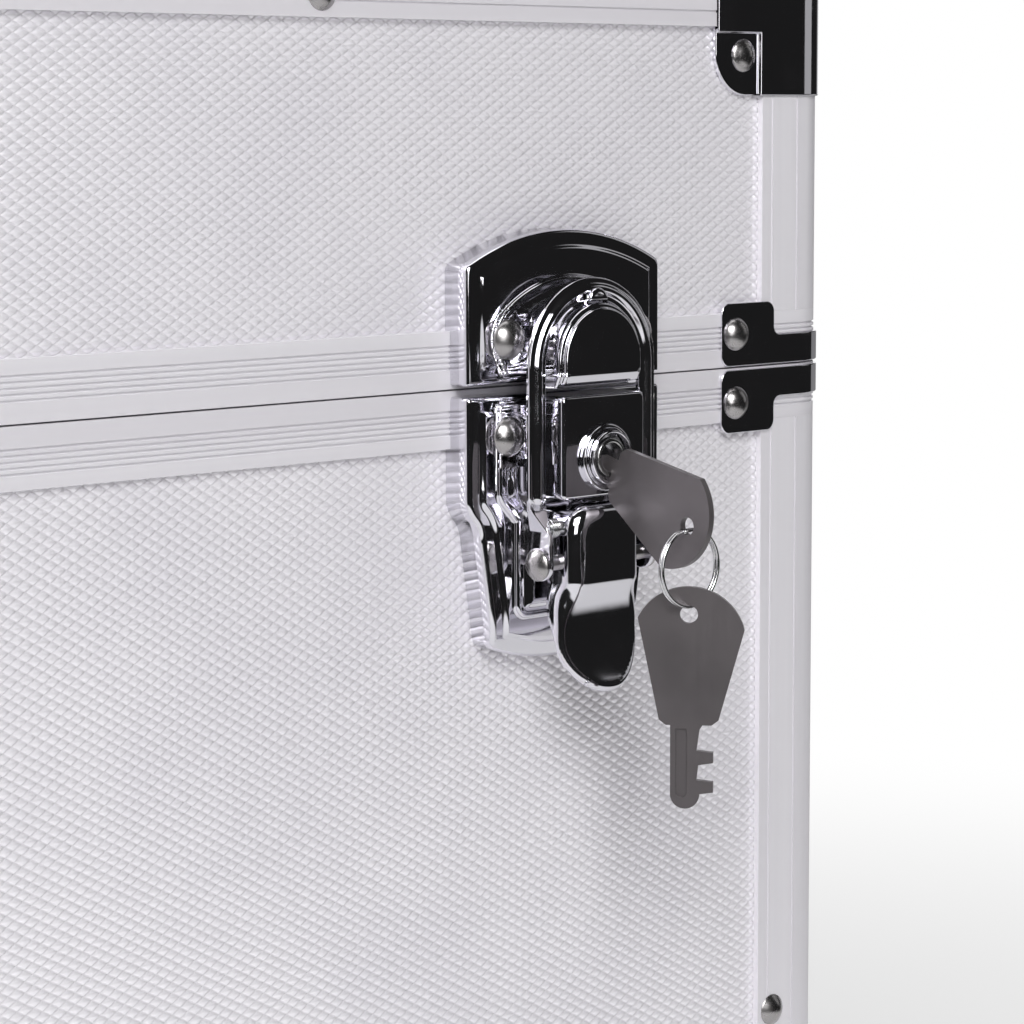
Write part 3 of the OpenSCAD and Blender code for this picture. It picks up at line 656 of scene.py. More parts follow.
def ease(value: float, low: float, high: float) -> float:
    """A smooth rise from 0 at low to 1 at high, in Python."""
    share = min(1.0, max(0.0, (value - low) / (high - low)))
    return share * share * (3 - 2 * share)


class Sketch:
    """An outline drawn from point to point in one plane, then made a face or a solid."""

    def __init__(self, x: float, y: float, level: float = 0.0) -> None:
        """Starts the outline at a point of the plane z = level."""
        self.mesh = bmesh.new()
        self.level = level
        self.tip = self.mesh.verts.new((x, y, level))

    def line(self, x: float, y: float, steps: int = 1) -> Sketch:
        """Draws a straight line.

        Args:
            x: Where it ends.
            y: Where it ends.
            steps: The number of edges.

        Returns:
            The sketch.
        """
        start, end = self.tip.co.copy(), Vector((x, y, self.level))
        for i in range(steps):
            grown = bmesh.ops.extrude_vert_indiv(self.mesh, verts=[self.tip])
            self.tip = grown["verts"][0]
            self.tip.co = start.lerp(end, (i + 1) / steps)
        return self

    def arc(self, x: float, y: float, degrees: float, steps: int) -> Sketch:
        """Draws an arc about a centre.

        Args:
            x: The centre.
            y: The centre.
            degrees: How far it turns, to the left where positive.
            steps: The number of edges.

        Returns:
            The sketch.
        """
        spun = bmesh.ops.spin(
            self.mesh,
            geom=[self.tip],
            cent=(x, y, self.level),
            axis=(0, 0, 1),
            angle=math.radians(degrees),
            steps=steps,
        )
        self.tip = only(Vert, spun["geom_last"])[0]
        return self

    def start(self, x: float, y: float) -> Sketch:
        """Lifts the pen and starts another loop, which becomes a hole."""
        self.tip = self.mesh.verts.new((x, y, self.level))
        return self

    def pierced(self) -> Mesh:
        """Fills the area between the loops.

        Returns:
            A flat bmesh that looks along z.
        """
        weld(self.mesh)
        bmesh.ops.triangle_fill(self.mesh, edges=self.mesh.edges, use_beauty=True, normal=(0, 0, 1))
        return self.mesh

    def face(self) -> Mesh:
        """Fills the outline.

        Returns:
            A bmesh of one face that looks along z.
        """
        weld(self.mesh)
        bmesh.ops.contextual_create(self.mesh, geom=self.mesh.edges)
        self.mesh.faces.ensure_lookup_table()
        if self.mesh.faces[0].normal.z < 0:
            bmesh.ops.reverse_faces(self.mesh, faces=self.mesh.faces)
        return self.mesh

    def solid(self, thickness: float) -> Mesh:
        """Gives the filled outline a thickness along z."""
        mesh = self.face()
        grown = bmesh.ops.extrude_face_region(mesh, geom=mesh.faces[:])["geom"]
        verts = only(Vert, grown)
        bmesh.ops.translate(mesh, vec=(0, 0, thickness), verts=verts)
        face_out(mesh)
        return mesh


def arched(half: float, foot: float, crown: float, level: float = 0.0, corner: float = 0.0) -> Sketch:
    """Sketches an arch with straight sides.

    Args:
        half: Its half-width.
        foot: The level of its straight foot.
        crown: The level of its round top.
        level: The plane it is drawn in.
        corner: The radius of its two lower corners.

    Returns:
        The closed outline.
    """
    spring = crown - half
    sketch = Sketch(-half + corner, foot, level).line(half - corner, foot, 12)
    if corner:
        sketch.arc(half - corner, foot + corner, 90, 5)
    sketch.line(half, spring, 10).arc(0, spring, 180, 48).line(-half, foot + corner, 10)
    if corner:
        sketch.arc(-half + corner, foot + corner, 90, 5)
    return sketch


def round_edges(mesh: Mesh, width: float, segments: int = 2, least: float = 30) -> None:
    """Rounds every edge that is sharper than an angle.

    Args:
        mesh: The shape.
        width: How far the rounding reaches.
        segments: The number of faces across it.
        least: The least angle between two faces, in degrees.
    """
    limit = math.radians(least)
    sharp = [e for e in mesh.edges if len(e.link_faces) == 2 and e.calc_face_angle(0) > limit]
    bevelled(mesh, sharp, width, segments, "EDGES")


def turned(profile: Sequence[tuple[float, float]], steps: int = 48) -> Mesh:
    """Turns a profile about the z axis.

    Args:
        profile: Points as (radius, height).
        steps: The number of faces round the axis.

    Returns:
        The closed shape.
    """
    mesh = bmesh.new()
    tip = mesh.verts.new((profile[0][0], 0, profile[0][1]))
    for radius, height in profile[1:]:
        grown = bmesh.ops.extrude_vert_indiv(mesh, verts=[tip])
        tip = grown["verts"][0]
        tip.co = (radius, 0, height)
    bmesh.ops.spin(
        mesh,
        geom=mesh.verts[:] + mesh.edges[:],
        cent=(0, 0, 0),
        axis=(0, 0, 1),
        angle=math.tau,
        steps=steps,
        use_merge=True,
    )
    weld(mesh)
    face_out(mesh)
    return mesh


def dome(radius: float, height: float, rim: float = 0.35, steps: int = 8) -> list[tuple[float, float]]:
    """The profile of a rivet head, from its rim on the metal to its crown."""
    ball = (radius**2 + (height - rim) ** 2) / (2 * (height - rim))
    reach = math.asin(min(1.0, radius / ball))
    turns = [reach * (1 - i / steps) for i in range(steps + 1)]
    curve = [(ball * math.sin(t), height - ball + ball * math.cos(t)) for t in turns]
    return [(0, 0), (radius - 0.15, 0), (radius, 0.15), *curve]


def merged(*parts: Mesh) -> Mesh:
    """Joins shapes into one bmesh and frees them.

    Args:
        parts: The shapes.

    Returns:
        The joined bmesh.
    """
    whole = bmesh.new()
    for part in parts:
        data = bpy.data.meshes.new("part")
        part.to_mesh(data)
        part.free()
        whole.from_mesh(data)
        bpy.data.meshes.remove(data)
    return whole


def moved(mesh: Mesh, matrix: Matrix) -> Mesh:
    """Moves a shape and returns it."""
    bmesh.ops.transform(mesh, matrix=matrix, verts=mesh.verts)
    if matrix.determinant() < 0:
        bmesh.ops.reverse_faces(mesh, faces=mesh.faces)
    return mesh


def handed(mesh: Mesh, mirror: bool, axis: Sequence[float] = (1, 0, 0)) -> Mesh:
    """Mirrors a shape along an axis where asked, and returns it."""
    return moved(mesh, Matrix.Scale(-1, 4, axis)) if mirror else mesh


def swept(
    section: Sequence[tuple[float, float]], half: float, foot: float, crown: float, steps: int = 56
) -> Mesh:
    """Sweeps a closed section up one leg, round an arch and down the other leg.

    Args:
        section: Points as (inwards from the outer side, height).
        half: The arch's outer half-width.
        foot: The level of the legs' ends.
        crown: The level of its top.
        steps: The number of faces round the arch.

    Returns:
        The closed shape.
    """
    mesh = bmesh.new()
    verts = [mesh.verts.new((half - across, foot, n)) for across, n in section]
    face = mesh.faces.new(verts)
    spring = crown - half

    def rise(faces: list[Face], by: float, count: int) -> list[Face]:
        """Extrudes the end faces along v in equal lengths."""
        for _ in range(count):
            grown = bmesh.ops.extrude_face_region(mesh, geom=faces)["geom"]
            tips = only(Vert, grown)
            if faces[0] is not face:
                bmesh.ops.delete(mesh, geom=faces, context="FACES_ONLY")
            bmesh.ops.translate(mesh, vec=(0, by / count, 0), verts=tips)
            faces = only(Face, grown)
        return faces

    end = rise([face], spring - foot, 10)
    spun = bmesh.ops.spin(
        mesh, geom=end, cent=(0, spring, 0), axis=(0, 0, 1), angle=math.pi, steps=steps
    )
    bmesh.ops.delete(mesh, geom=end, context="FACES_ONLY")
    last = [g for g in spun["geom_last"] if isinstance(g, Face)]
    rise(last, foot - spring, 10)
    weld(mesh)
    face_out(mesh)
    return mesh


def rounded_at(mesh: Mesh, radius: float, *corners: tuple[float, float]) -> None:
    """Rounds corners of a flat outline.

    Args:
        mesh: A bmesh of one face.
        radius: How far the rounding reaches along the outline.
        corners: The corners, each as (x, y).
    """
    chosen = [min(mesh.verts, key=lambda v: (v.co.xy - Vector(c)).length) for c in corners]
    bevelled(mesh, chosen, radius, max(2, round(4 * radius)), "VERTICES")


def pressed(mesh: Mesh, steps: Iterable[Step]) -> Mesh:
    """Raises a flat face in rings, as a press does, and closes its back.

    Args:
        mesh: A bmesh of one face that looks along z.
        steps: For each ring, how far it is drawn in and how far it rises.

    Returns:
        The raised, closed shape.
    """
    for inset, rise in steps:
        rings = max(1, math.ceil(inset / RING))
        for _ in range(rings):
            top = max(mesh.faces, key=lambda face: len(face.verts))
            bmesh.ops.inset_region(
                mesh,
                faces=[top],
                thickness=inset / rings,
                depth=rise / rings,
                use_even_offset=True,
                use_boundary=True,
            )
            bmesh.ops.remove_doubles(mesh, verts=top.verts, dist=RING)
    bmesh.ops.contextual_create(mesh, geom=open_rim(mesh))
    face_out(mesh)
    return mesh


def scored(mesh: Mesh, across: Sequence[float], places: Iterable[float]) -> None:
    """Cuts lines across a shape, so that it can be bent along them.

    Args:
        mesh: The shape.
        across: The direction in which the places are counted.
        places: How far along it each line lies.
    """
    for place in places:
        cut(mesh, Vector(across) * place, across, drop=False)


def dished(
    mesh: Mesh, at: tuple[float, float], level: float, inner: float, outer: float
) -> None:
    """Sinks a round seat into a raised shape.

    Args:
        mesh: The shape, raised along z.
        at: The seat's middle.
        level: The seat's height.
        inner: The radius of its flat.
        outer: The radius at which the shape is left as it is.
    """
    lines = [outer * i / 8 for i in range(-8, 9)]
    scored(mesh, (1, 0, 0), [at[0] + line for line in lines])
    scored(mesh, (0, 1, 0), [at[1] + line for line in lines])
    for vert in mesh.verts:
        if vert.co.z > level:
            share = ease((vert.co.xy - Vector(at)).length, inner, outer)
            vert.co.z = level + (vert.co.z - level) * share


def rolled(mesh: Mesh, radius_at: Callable[[Vector], float], steps: int = 7) -> None:
    """Rolls the rim of a sheet over, away from its face.

    Args:
        mesh: An open sheet that looks along z.
        radius_at: The roll's radius at a point of the rim.
        steps: The number of faces across the roll.
    """
    rim = open_rim(mesh)
    outward: dict[Vert, Vector] = {}
    for edge in rim:
        middle = (edge.verts[0].co + edge.verts[1].co) / 2
        along = edge.verts[1].co - edge.verts[0].co
        out = Vector((along.y, -along.x, 0)).normalized()
        if out.dot(middle - edge.link_faces[0].calc_center_median()) < 0:
            out.negate()
        for vert in edge.verts:
            outward[vert] = outward.get(vert, Vector()) + out
    starts = {v: (v.co.copy(), out.normalized(), radius_at(v.co)) for v, out in outward.items()}
    for i in range(1, steps + 1):
        turn = math.radians(90 * i / steps)
        tips, rim = grow(mesh, rim)
        after = {}
        for vert in tips:
            source = next(e.other_vert(vert) for e in vert.link_edges if e.other_vert(vert) in starts)
            start, out, radius = starts[source]
            vert.co = start + out * (radius * math.sin(turn))
            vert.co.z -= radius * (1 - math.cos(turn))
            after[vert] = (start, out, radius)
        starts = after


def helix(radius: float, wire: float, turns: float, pitch: float, sides: int = 8) -> Mesh:
    """Winds a round wire about the z axis.

    Args:
        radius: The radius of the wire's middle line.
        wire: The wire's diameter.
        turns: The number of turns.
        pitch: The rise of one turn.
        sides: The number of faces round the wire.

    Returns:
        The closed coil, starting at z = 0.
    """
    mesh = bmesh.new()
    section = bmesh.ops.create_circle(mesh, cap_ends=True, segments=sides, radius=wire / 2)["verts"]
    bmesh.ops.rotate(mesh, verts=section, cent=(0, 0, 0), matrix=Matrix.Rotation(math.pi / 2, 3, "X"))
    bmesh.ops.translate(mesh, verts=section, vec=(radius, 0, 0))
    steps = int(turns * (24 if radius < 3 else 72))
    bmesh.ops.spin(
        mesh,
        geom=mesh.faces[:],
        cent=(0, 0, 0),
        axis=(0, 0, 1),
        dvec=(0, 0, pitch * turns / steps),
        angle=math.tau * turns,
        steps=steps,
    )
    face_out(mesh)
    return mesh


def lofted(first: Sequence[Vector], second: Sequence[Vector]) -> Mesh:
    """Joins two closed rings of points by faces and closes both ends."""
    mesh = bmesh.new()
    for ring in (first, second):
        mesh.faces.new([mesh.verts.new(point) for point in ring])
    bmesh.ops.bridge_loops(mesh, edges=mesh.edges)
    face_out(mesh)
    return mesh


# ------------------------------------------------------------------ draw latches


@dataclass
class DrawLatch:
    """One draw latch, in its own millimetres: two plates, loop, lever, lock and rivets."""

    side: str
    frame: CaseFrame
    chrome: Finish
    rivet: Finish
    steel: Finish
    lock: Finish
    half: float = 23.35
    gap: float = 0.9
    foot: float = -1.2
    pan: float = 4.6
    bead: float = 0.55
    platform_rise: float = 1.0
    catch_top: float = 27.3
    catch_arc: float = 49.2
    plate_low: float = 48.3
    plate_arc: float = 47.5
    lock_half: float = 9.95
    lock_face: float = 14.1
    lock_foot: float = 19.0
    lock_v: float = -12.0
    rivet_u: float = 15.5
    catch_rivet_v: float = 8.8
    plate_rivet_v: float = -7.9
    rivet_radius: float = 3.5
    pivot: tuple[float, float] = (-23.7, 11.9)
    link: tuple[float, float] = (-30.0, 10.9)
    loop_half: float = 15.2
    loop_crown: float = 19.1
    loop_foot: float = -20.5
    loop_n: float = 10.3
    ear_near: float = 11.9
    ear_t: float = 0.9
    lever_side: float = 9.65
    lever_half: float = 8.7
    neck_half: float = 7.7
    lever_shift: float = -0.4
    lever_top: float = -20.7
    lever_tip: float = -52.3
    lever_n: float = 14.75
    lever_t: float = 0.8

    @property
    def matrix(self) -> Matrix:
        """The transform from this latch's millimetres to the frame."""
        return self.frame.latch(1 if self.side == "right" else -1)

    @property
    def platform_n(self) -> float:
        """The height of the lower step of both platforms."""
        return self.pan + self.bead + self.platform_rise

    def _add(
        self, name: str, mesh: Mesh, finish: Finish, body: str, *nodes: str
    ) -> Object:
        """Places one smooth-shaded piece of the latch.

        Args:
            name: The piece's name, without its side.
            mesh: Its shape in latch millimetres.
            finish: Its finish.
            body: The body that it moves with.
            nodes: The nodes that it stands for.

        Returns:
            The piece.
        """
        smooth(mesh)
        piece = add_piece(f"{name}_{self.side}", moved(mesh, self.matrix), finish, body, nodes)
        weights = piece.modifiers.new("flat_faces", "WEIGHTED_NORMAL")
        weights.weight = 60
        return piece

    def _pan_steps(self) -> list[Step]:
        """Skirt, rounded edge, flat border and bead, the same on both plates."""
        edge = 1.0
        return [
            (0.02, self.pan - self.foot - edge),
            *arc_steps(edge, 6, False),
            (1.5, 0.0),
            *swell(1.1, self.bead, 7),
            (0.4, 0.0),
        ]

    @staticmethod
    def _platform_steps() -> list[Step]:
        """A crisp step, a narrow flat and a soft rise to the top."""
        return [
            *arc_steps(0.5, 4, True),
            *arc_steps(0.5, 5, False),
            (0.6, 0.0),
            *swell(2.4, 0.8, 16),
        ]

    def catch_plate(self) -> None:
        """Makes the lid's plate with its bead, horseshoe platform and keeper dome."""
        turn = math.degrees(math.asin(self.half / self.catch_arc))
        centre = self.catch_top - self.catch_arc
        corner = centre + self.catch_arc * math.cos(math.radians(turn))
        outline = Sketch(-self.half, self.gap, self.foot).line(self.half, self.gap)
        outline.line(self.half, corner).arc(0, centre, 2 * turn, 48).line(-self.half, self.gap)
        pan = outline.face()
        rounded_at(pan, 1.6, (self.half, corner), (-self.half, corner))
        rounded_at(pan, 0.5, (self.half, self.gap), (-self.half, self.gap))
        pan = pressed(pan, self._pan_steps())
        platform = pressed(self._horseshoe(), self._platform_steps())
        for u in (-self.rivet_u, self.rivet_u):
            dished(platform, (u, self.catch_rivet_v), self.platform_n, 3.9, 5.8)
        whole = merged(pan, platform, self._keeper())
        self._add("pressed_catch_plate", whole, self.chrome, "lid", f"catch_plate_{self.side}")

    def _horseshoe(self) -> Mesh:
        """The outline of the catch plate's platform: a flat arch with pinched feet."""
        crown_centre, shoulder, side = -6.3, (11.7, 8.67), 7.0
        low = math.radians(27)
        waist = (shoulder[0] + side * math.cos(low), shoulder[1] - side * math.sin(low))
        foot = (waist[0] - (waist[1] - 2) / 2, 2.0)
        sketch = Sketch(-foot[0], foot[1], self.pan + self.bead - 0.05).line(*foot)
        sketch.line(*waist).arc(*shoulder, 79, 16).arc(0, crown_centre, 76, 44)
        sketch.arc(-shoulder[0], shoulder[1], 79, 16).line(-foot[0], foot[1])
        mesh = sketch.face()
        rounded_at(mesh, 1.0, foot, (-foot[0], foot[1]))
        return mesh

    def _keeper(self) -> Mesh:
        """The keeper's dome, with a ledge below its face."""
        fillet, base = 0.6, self.platform_n
        wall = self.lock_face - base - fillet - 0.5 - 0.8
        low, slope = 0.3, 2.7
        outline = arched(self.lock_half + fillet, -0.65, 14.8 + fillet, base, 1.2)
        steps = [
            *arc_steps(fillet, 5, True),
            (0.03, wall),
            *arc_steps(0.5, 5, False),
            (0.3, 0.0),
            (0.03, 0.3),
            *arc_steps(0.5, 6, False),
            (0.4, 0.0),
        ]
        mesh = pressed(outline.face(), steps)
        scored(mesh, (0, 1, 0), (slope,))
        for vert in mesh.verts:
            if vert.co.z > self.lock_face - 1.4:
                vert.co.z -= max(0.0, slope - vert.co.y) * 0.5
            vert.co.y = max(vert.co.y, low)
        return mesh

    def latch_plate(self) -> None:
        """Makes the base's plate with its bead, platform, lock housing and ears."""
        pan = pressed(self._plate_outline(), self._pan_steps())
        scored(pan, (0, 1, 0), range(-47, -37))
        for vert in pan.verts:
            if vert.co.z > 0 and vert.co.y < -38:
                vert.co.z -= 0.022 * (-38 - vert.co.y) ** 2
        platform = pressed(self._plate_platform(), self._platform_steps())
        for u in (-self.rivet_u, self.rivet_u):
            dished(platform, (u, self.plate_rivet_v), self.platform_n, 3.9, 5.4)
        whole = merged(pan, platform, self._housing(), self._bezel(), *self._ears())
        self._add("pressed_latch_plate", whole, self.chrome, "base", f"latch_plate_{self.side}")

    def _plate_outline(self) -> Mesh:
        """The plate's outline: straight, then drawn in by an S at each side, then round."""
        side_low, side_high, bend, turn = 17.3, 20.0, 5.8, 43.6
        low_turn = math.degrees(math.asin(side_low / self.plate_arc))
        centre = self.plate_arc - self.plate_low
        corner = centre - self.plate_arc * math.cos(math.radians(low_turn))
        inner_v, outer_v = -26.5, -18.5
        sketch = Sketch(-side_low, corner, self.foot).arc(0, centre, 2 * low_turn, 32)
        sketch.line(side_high, inner_v).arc(side_high + bend, inner_v, -turn, 10)
        sketch.arc(self.half - bend, outer_v, turn, 10).line(self.half, -self.gap)
        sketch.line(-self.half, -self.gap).line(-self.half, outer_v)
        sketch.arc(bend - self.half, outer_v, turn, 10).arc(-side_high - bend, inner_v, -turn, 10)
        sketch.line(-side_low, corner)
        mesh = sketch.face()
        rounded_at(mesh, 3.0, (side_low, corner), (-side_low, corner))
        rounded_at(mesh, 0.8, (self.half, -self.gap), (-self.half, -self.gap))
        return mesh

    def _plate_platform(self) -> Mesh:
        """The outline of the latch plate's platform, narrower beside the lever."""
        wide, narrow, top, low = 17.8, 13.8, -1.9, -40.5
        sketch = Sketch(-narrow, low, self.pan + self.bead - 0.05).line(narrow, low)
        sketch.line(narrow, -23.4).line(wide, -19.2).line(wide, top).line(-wide, top)
        sketch.line(-wide, -19.2).line(-narrow, -23.4).line(-narrow, low)
        mesh = sketch.face()
        rounded_at(mesh, 1.5, (wide, top), (-wide, top), (wide, -19.2), (-wide, -19.2))
        rounded_at(mesh, 3.0, (narrow, low), (-narrow, low))
        return mesh

    def _housing(self) -> Mesh:
        """The fixed lock box below the seam."""
        base = self.platform_n
        half, top, low = self.lock_half, -1.0, -self.lock_foot
        sketch = Sketch(-half, low, base).line(half, low).line(half, top)
        mesh = sketch.line(-half, top).line(-half, low).face()
        rounded_at(mesh, 1.0, (-half, low), (half, low), (half, top), (-half, top))
        edge = 0.8
        steps = [(0.02, self.lock_face - base - edge), *arc_steps(edge, 6, False), (0.5, 0.0)]
        return pressed(mesh, steps)

    def _bezel(self) -> Mesh:
        """The stepped collar round the keyhole."""
        rise = 2.2
        profile = [
            (4.3, -2.0), (5.9, -2.0), (5.9, 0.7), (5.75, 0.95), (5.45, 1.05), (5.15, 0.95),
            (5.0, 0.75), (4.85, 0.95), (4.85, rise - 0.3), (4.75, rise - 0.08), (4.6, rise),
            (4.4, rise - 0.08), (4.3, rise - 0.3), (4.3, -2.0),
        ]
        place = shift((0, self.lock_v, self.lock_face))
        return moved(turned(profile), place)

    def _ears(self) -> list[Mesh]:
        """The two ears that carry the pivot pin."""
        v, n = self.pivot
        made = []
        for u in (-7.0, 5.2):
            ear = arched(2.4, self.pan - n, 2.4).solid(1.0)
            round_edges(ear, 0.15)
            turn = Matrix(((0, 0, 1, u), (1, 0, 0, v), (0, 1, 0, n), (0, 0, 0, 1)))
            made.append(moved(ear, turn))
        return made

    def rivets(self) -> None:
        """Makes the two rivets of each plate."""
        for body, place, v in (
            ("lid", "catch", self.catch_rivet_v),
            ("base", "plate", self.plate_rivet_v),
        ):
            heads = []
            for u in (-self.rivet_u, self.rivet_u):
                head = turned(dome(self.rivet_radius, 2.4))
                heads.append(moved(head, shift((u, v, self.platform_n))))
            self._add(f"{place}_rivets", merged(*heads), self.rivet, body, f"latch_rivets_{body}")

    def loop(self) -> None:
        """Makes the draw loop: a ribbed arched strap whose ends turn into ears."""
        n = self.loop_n
        section = [
            (0.15, n), (0.0, n + 0.15), (0.0, n + 0.75), (0.1, n + 0.93), (0.3, n + 1.0),
            (0.85, n + 1.02), (1.15, n + 1.2), (1.4, n + 1.55), (1.75, n + 1.72),
            (2.15, n + 1.72), (2.5, n + 1.55), (2.75, n + 1.2), (3.05, n + 1.02), (3.6, n + 1.0),
            (3.8, n + 0.93), (3.9, n + 0.75), (3.9, n + 0.15), (3.75, n),
        ]
        strap = swept(section, self.loop_half, self.loop_foot, self.loop_crown)
        parts = [strap, self._catch_lug()]
        for sign in (-1, 1):
            parts.append(self._loop_ear(sign))
        self._add("draw_loop", merged(*parts), self.chrome, f"loop_{self.side}", f"loop_{self.side}")

    def _catch_lug(self) -> Mesh:
        """The pressed lug at the loop's crown, with a dent in its face."""
        lug = arched(2.3, -1.0, 1.4, 0.0, 0.6).face()
        low = self.loop_n + 0.8
        steps = [(0.05, 1.3), *arc_steps(0.5, 4, False), (0.25, 0.0), *swell(0.5, -0.35, 4), (0.3, 0.0)]
        return moved(pressed(lug, steps), shift((0, 16.0, low)))

    def _loop_ear(self, sign: int) -> Mesh:
        """One leg's end: a folded shoulder and a round ear.

        Args:
            sign: 1 for the right leg, -1 for the left one.

        Returns:
            The closed shapes.
        """
        v, n = self.link
        radius, top = 2.9, -17.0
        ear = Sketch(v, n - radius).arc(v, n, -180, 20).line(-25.0, n + 2.6, 3)
        ear.line(self.loop_foot, self.loop_n + 1.0, 2).line(top, self.loop_n + 1.0, 2)
        ear.line(top, self.loop_n, 1).line(-24.0, n - radius, 3).line(v, n - radius, 3)
        plate = ear.solid(self.ear_t)
        round_edges(plate, 0.2)
        near = self.ear_near
        side = Matrix(((0, 0, 1, near), (1, 0, 0, 0), (0, 1, 0, 0), (0, 0, 0, 1)))
        plate = moved(plate, side)
        strap = self.loop_half
        shoulder = lofted(
            [
                Vector((u, self.loop_foot + 0.3, h))
                for u, h in (
                    (strap - 3.9, self.loop_n),
                    (strap, self.loop_n),
                    (strap, self.loop_n + 1.0),
                    (strap - 3.9, self.loop_n + 1.0),
                )
            ],
            [
                Vector((u, -24.4, h))
                for u, h in (
                    (near, n - 2.4),
                    (near + self.ear_t, n - 2.4),
                    (near + self.ear_t, n + 2.2),
                    (near, n + 2.2),
                )
            ],
        )
        round_edges(shoulder, 0.25)
        whole = merged(plate, shoulder)
        return handed(whole, sign < 0)

    def lever_height(self, v: float) -> float:
        """The lever's outer face at a level v: flat, a hollow for the finger, then a curled tip."""
        depth = max(0.0, -33.5 - v)
        curl = max(0.0, depth - 11)
        return self.lever_n - 0.5 * depth + 0.02776 * depth**2 + 0.014 * curl**2

    def _half_at(self, v: float) -> float:
        """Half the lever's width at a level v: a neck above, the wider paddle below."""
        return self.neck_half + (self.lever_half - self.neck_half) * ease(-v, 33.5, 38.5)

    @staticmethod
    def _fold(v: float) -> float:
        """The radius of the lever's folded edges at a level v: wide above, tight at the paddle."""
        return 2.1 - 1.6 * ease(-v, 36.0, 41.5)

    def lever(self) -> None:
        """Makes the finger lever: a curved tongue with folded edges and side flanges."""
        least = self._fold(self.lever_tip)
        half = self.lever_half - least
        tip_centre = self.lever_tip + self.lever_half
        top = self.lever_top - self._fold(self.lever_top)
        mesh = bmesh.new()
        bmesh.ops.create_grid(mesh, x_segments=24, y_segments=72, size=1)
        middle = (top + self.lever_tip) / 2
        tall = (top - self.lever_tip) / 2
        stretch = shift((0, middle, 0)) @ Matrix.Diagonal((half, tall, 1, 1))
        bmesh.ops.transform(mesh, matrix=stretch, verts=mesh.verts)
        corner = 2.5
        cuts = [((0, tip_centre), half, 180 + 180 * i / 32) for i in range(33)]
        for sign in (-1, 1):
            start = 0 if sign > 0 else 90
            for i in range(9):
                cuts.append(((sign * (half - corner), top - corner), corner, start + 90 * i / 8))
        for centre, radius, degrees in cuts:
            out = Vector((math.cos(math.radians(degrees)), math.sin(math.radians(degrees)), 0))
            cut(mesh, Vector((*centre, 0)) + out * radius, out)
        weld(mesh, 0.02)
        for vert in mesh.verts:
            vert.co.x *= (self._half_at(vert.co.y) - self._fold(vert.co.y)) / half
            vert.co.z = self.lever_height(vert.co.y)
        rolled(mesh, lambda at: self._fold(at.y))
        edges = open_rim(mesh)
        for share in (0.33, 0.67, 1.0):
            tips, edges = grow(mesh, edges)
            for vert in tips:
                low = self._flange_low(vert.co)
                vert.co.z += (low - vert.co.z) * (share if share == 1 else share / 1.3)
        face_out(mesh)
        name = f"lever_{self.side}"
        mesh = moved(mesh, shift((self.lever_shift, 0, 0)))
        piece = self._add("finger_lever", mesh, self.chrome, name, name)
        wall = piece.modifiers.new("sheet", "SOLIDIFY")
        wall.thickness = self.lever_t * MM
        wall.offset = -1
        piece.modifiers.move(1, 0)

    def _flange_low(self, at: Vector) -> float:
        """How far down the lever's rim reaches at a point: deep round the link, then a lip."""
        face = self.lever_height(at.y)
        if abs(at.x) < self.neck_half - 1.5 and at.y > -30:
            return face - self._fold(at.y) - 0.5
        lip = face - self._fold(at.y) - 1.9 + 1.8 * ease(-at.y, 39.0, 45.0)
        deep = 8.5
        return deep + (lip - deep) * ease(-at.y, 31.5, 38.0)

    def loop_rivets(self) -> None:
        """Makes the rivets that carry the loop on the lever."""
        v, n = self.link
        profile = [(0, -6.5), (1.3, -6.5), (1.3, 0), *[(r, h) for r, h in dome(2.85, 1.7)[1:]]]
        heads = []
        for sign in (-1, 1):
            head = turned(profile)
            out = self.ear_near + self.ear_t + 0.15
            turn = Matrix.Rotation(math.pi / 2, 4, "Y")
            place = shift((out, v, n)) @ turn
            head = moved(head, place)
            heads.append(handed(head, sign < 0))
        node = f"loop_rivets_{self.side}"
        self._add("link_rivets", merged(*heads), self.rivet, f"lever_{self.side}", node)

    def spring(self) -> None:
        """Makes the two torsion coils on the pivot pin."""
        v, n = self.pivot
        coils = []
        for sign in (-1, 1):
            coil = helix(1.55, 0.34, 4, 0.46)
            turn = Matrix.Rotation(math.pi / 2, 4, "Y")
            coil = moved(coil, shift((self.lever_side + 0.22, v, n)) @ turn)
            coils.append(handed(coil, sign < 0))
        self._add("return_spring", merged(*coils), self.steel, "base", f"spring_{self.side}")

    def plug(self) -> None:
        """Makes the lock's plug: a ringed face with a dark keyway."""
        profile = [
            (0, 11.0), (4.24, 11.0), (4.24, 14.7), (4.1, 14.9), (3.55, 14.9), (3.45, 15.1),
            (3.45, 15.75), (3.3, 15.95), (3.0, 16.0), (2.7, 15.95), (2.55, 15.75), (2.45, 13.2),
            (0, 13.2),
        ]
        disc = moved(turned(profile), shift((0, self.lock_v, 0)))
        body = f"lock_{self.side}"
        self._add("keyway_plug", disc, self.lock, body, f"lock_plug_{self.side}")

    def build(self) -> None:
        """Makes every piece of the latch."""
        self.catch_plate()
        self.latch_plate()
        self.rivets()
        self.loop()
        self.lever()
        self.loop_rivets()
        self.spring()
        self.plug()


# ------------------------------------------------------------------ keys and ring


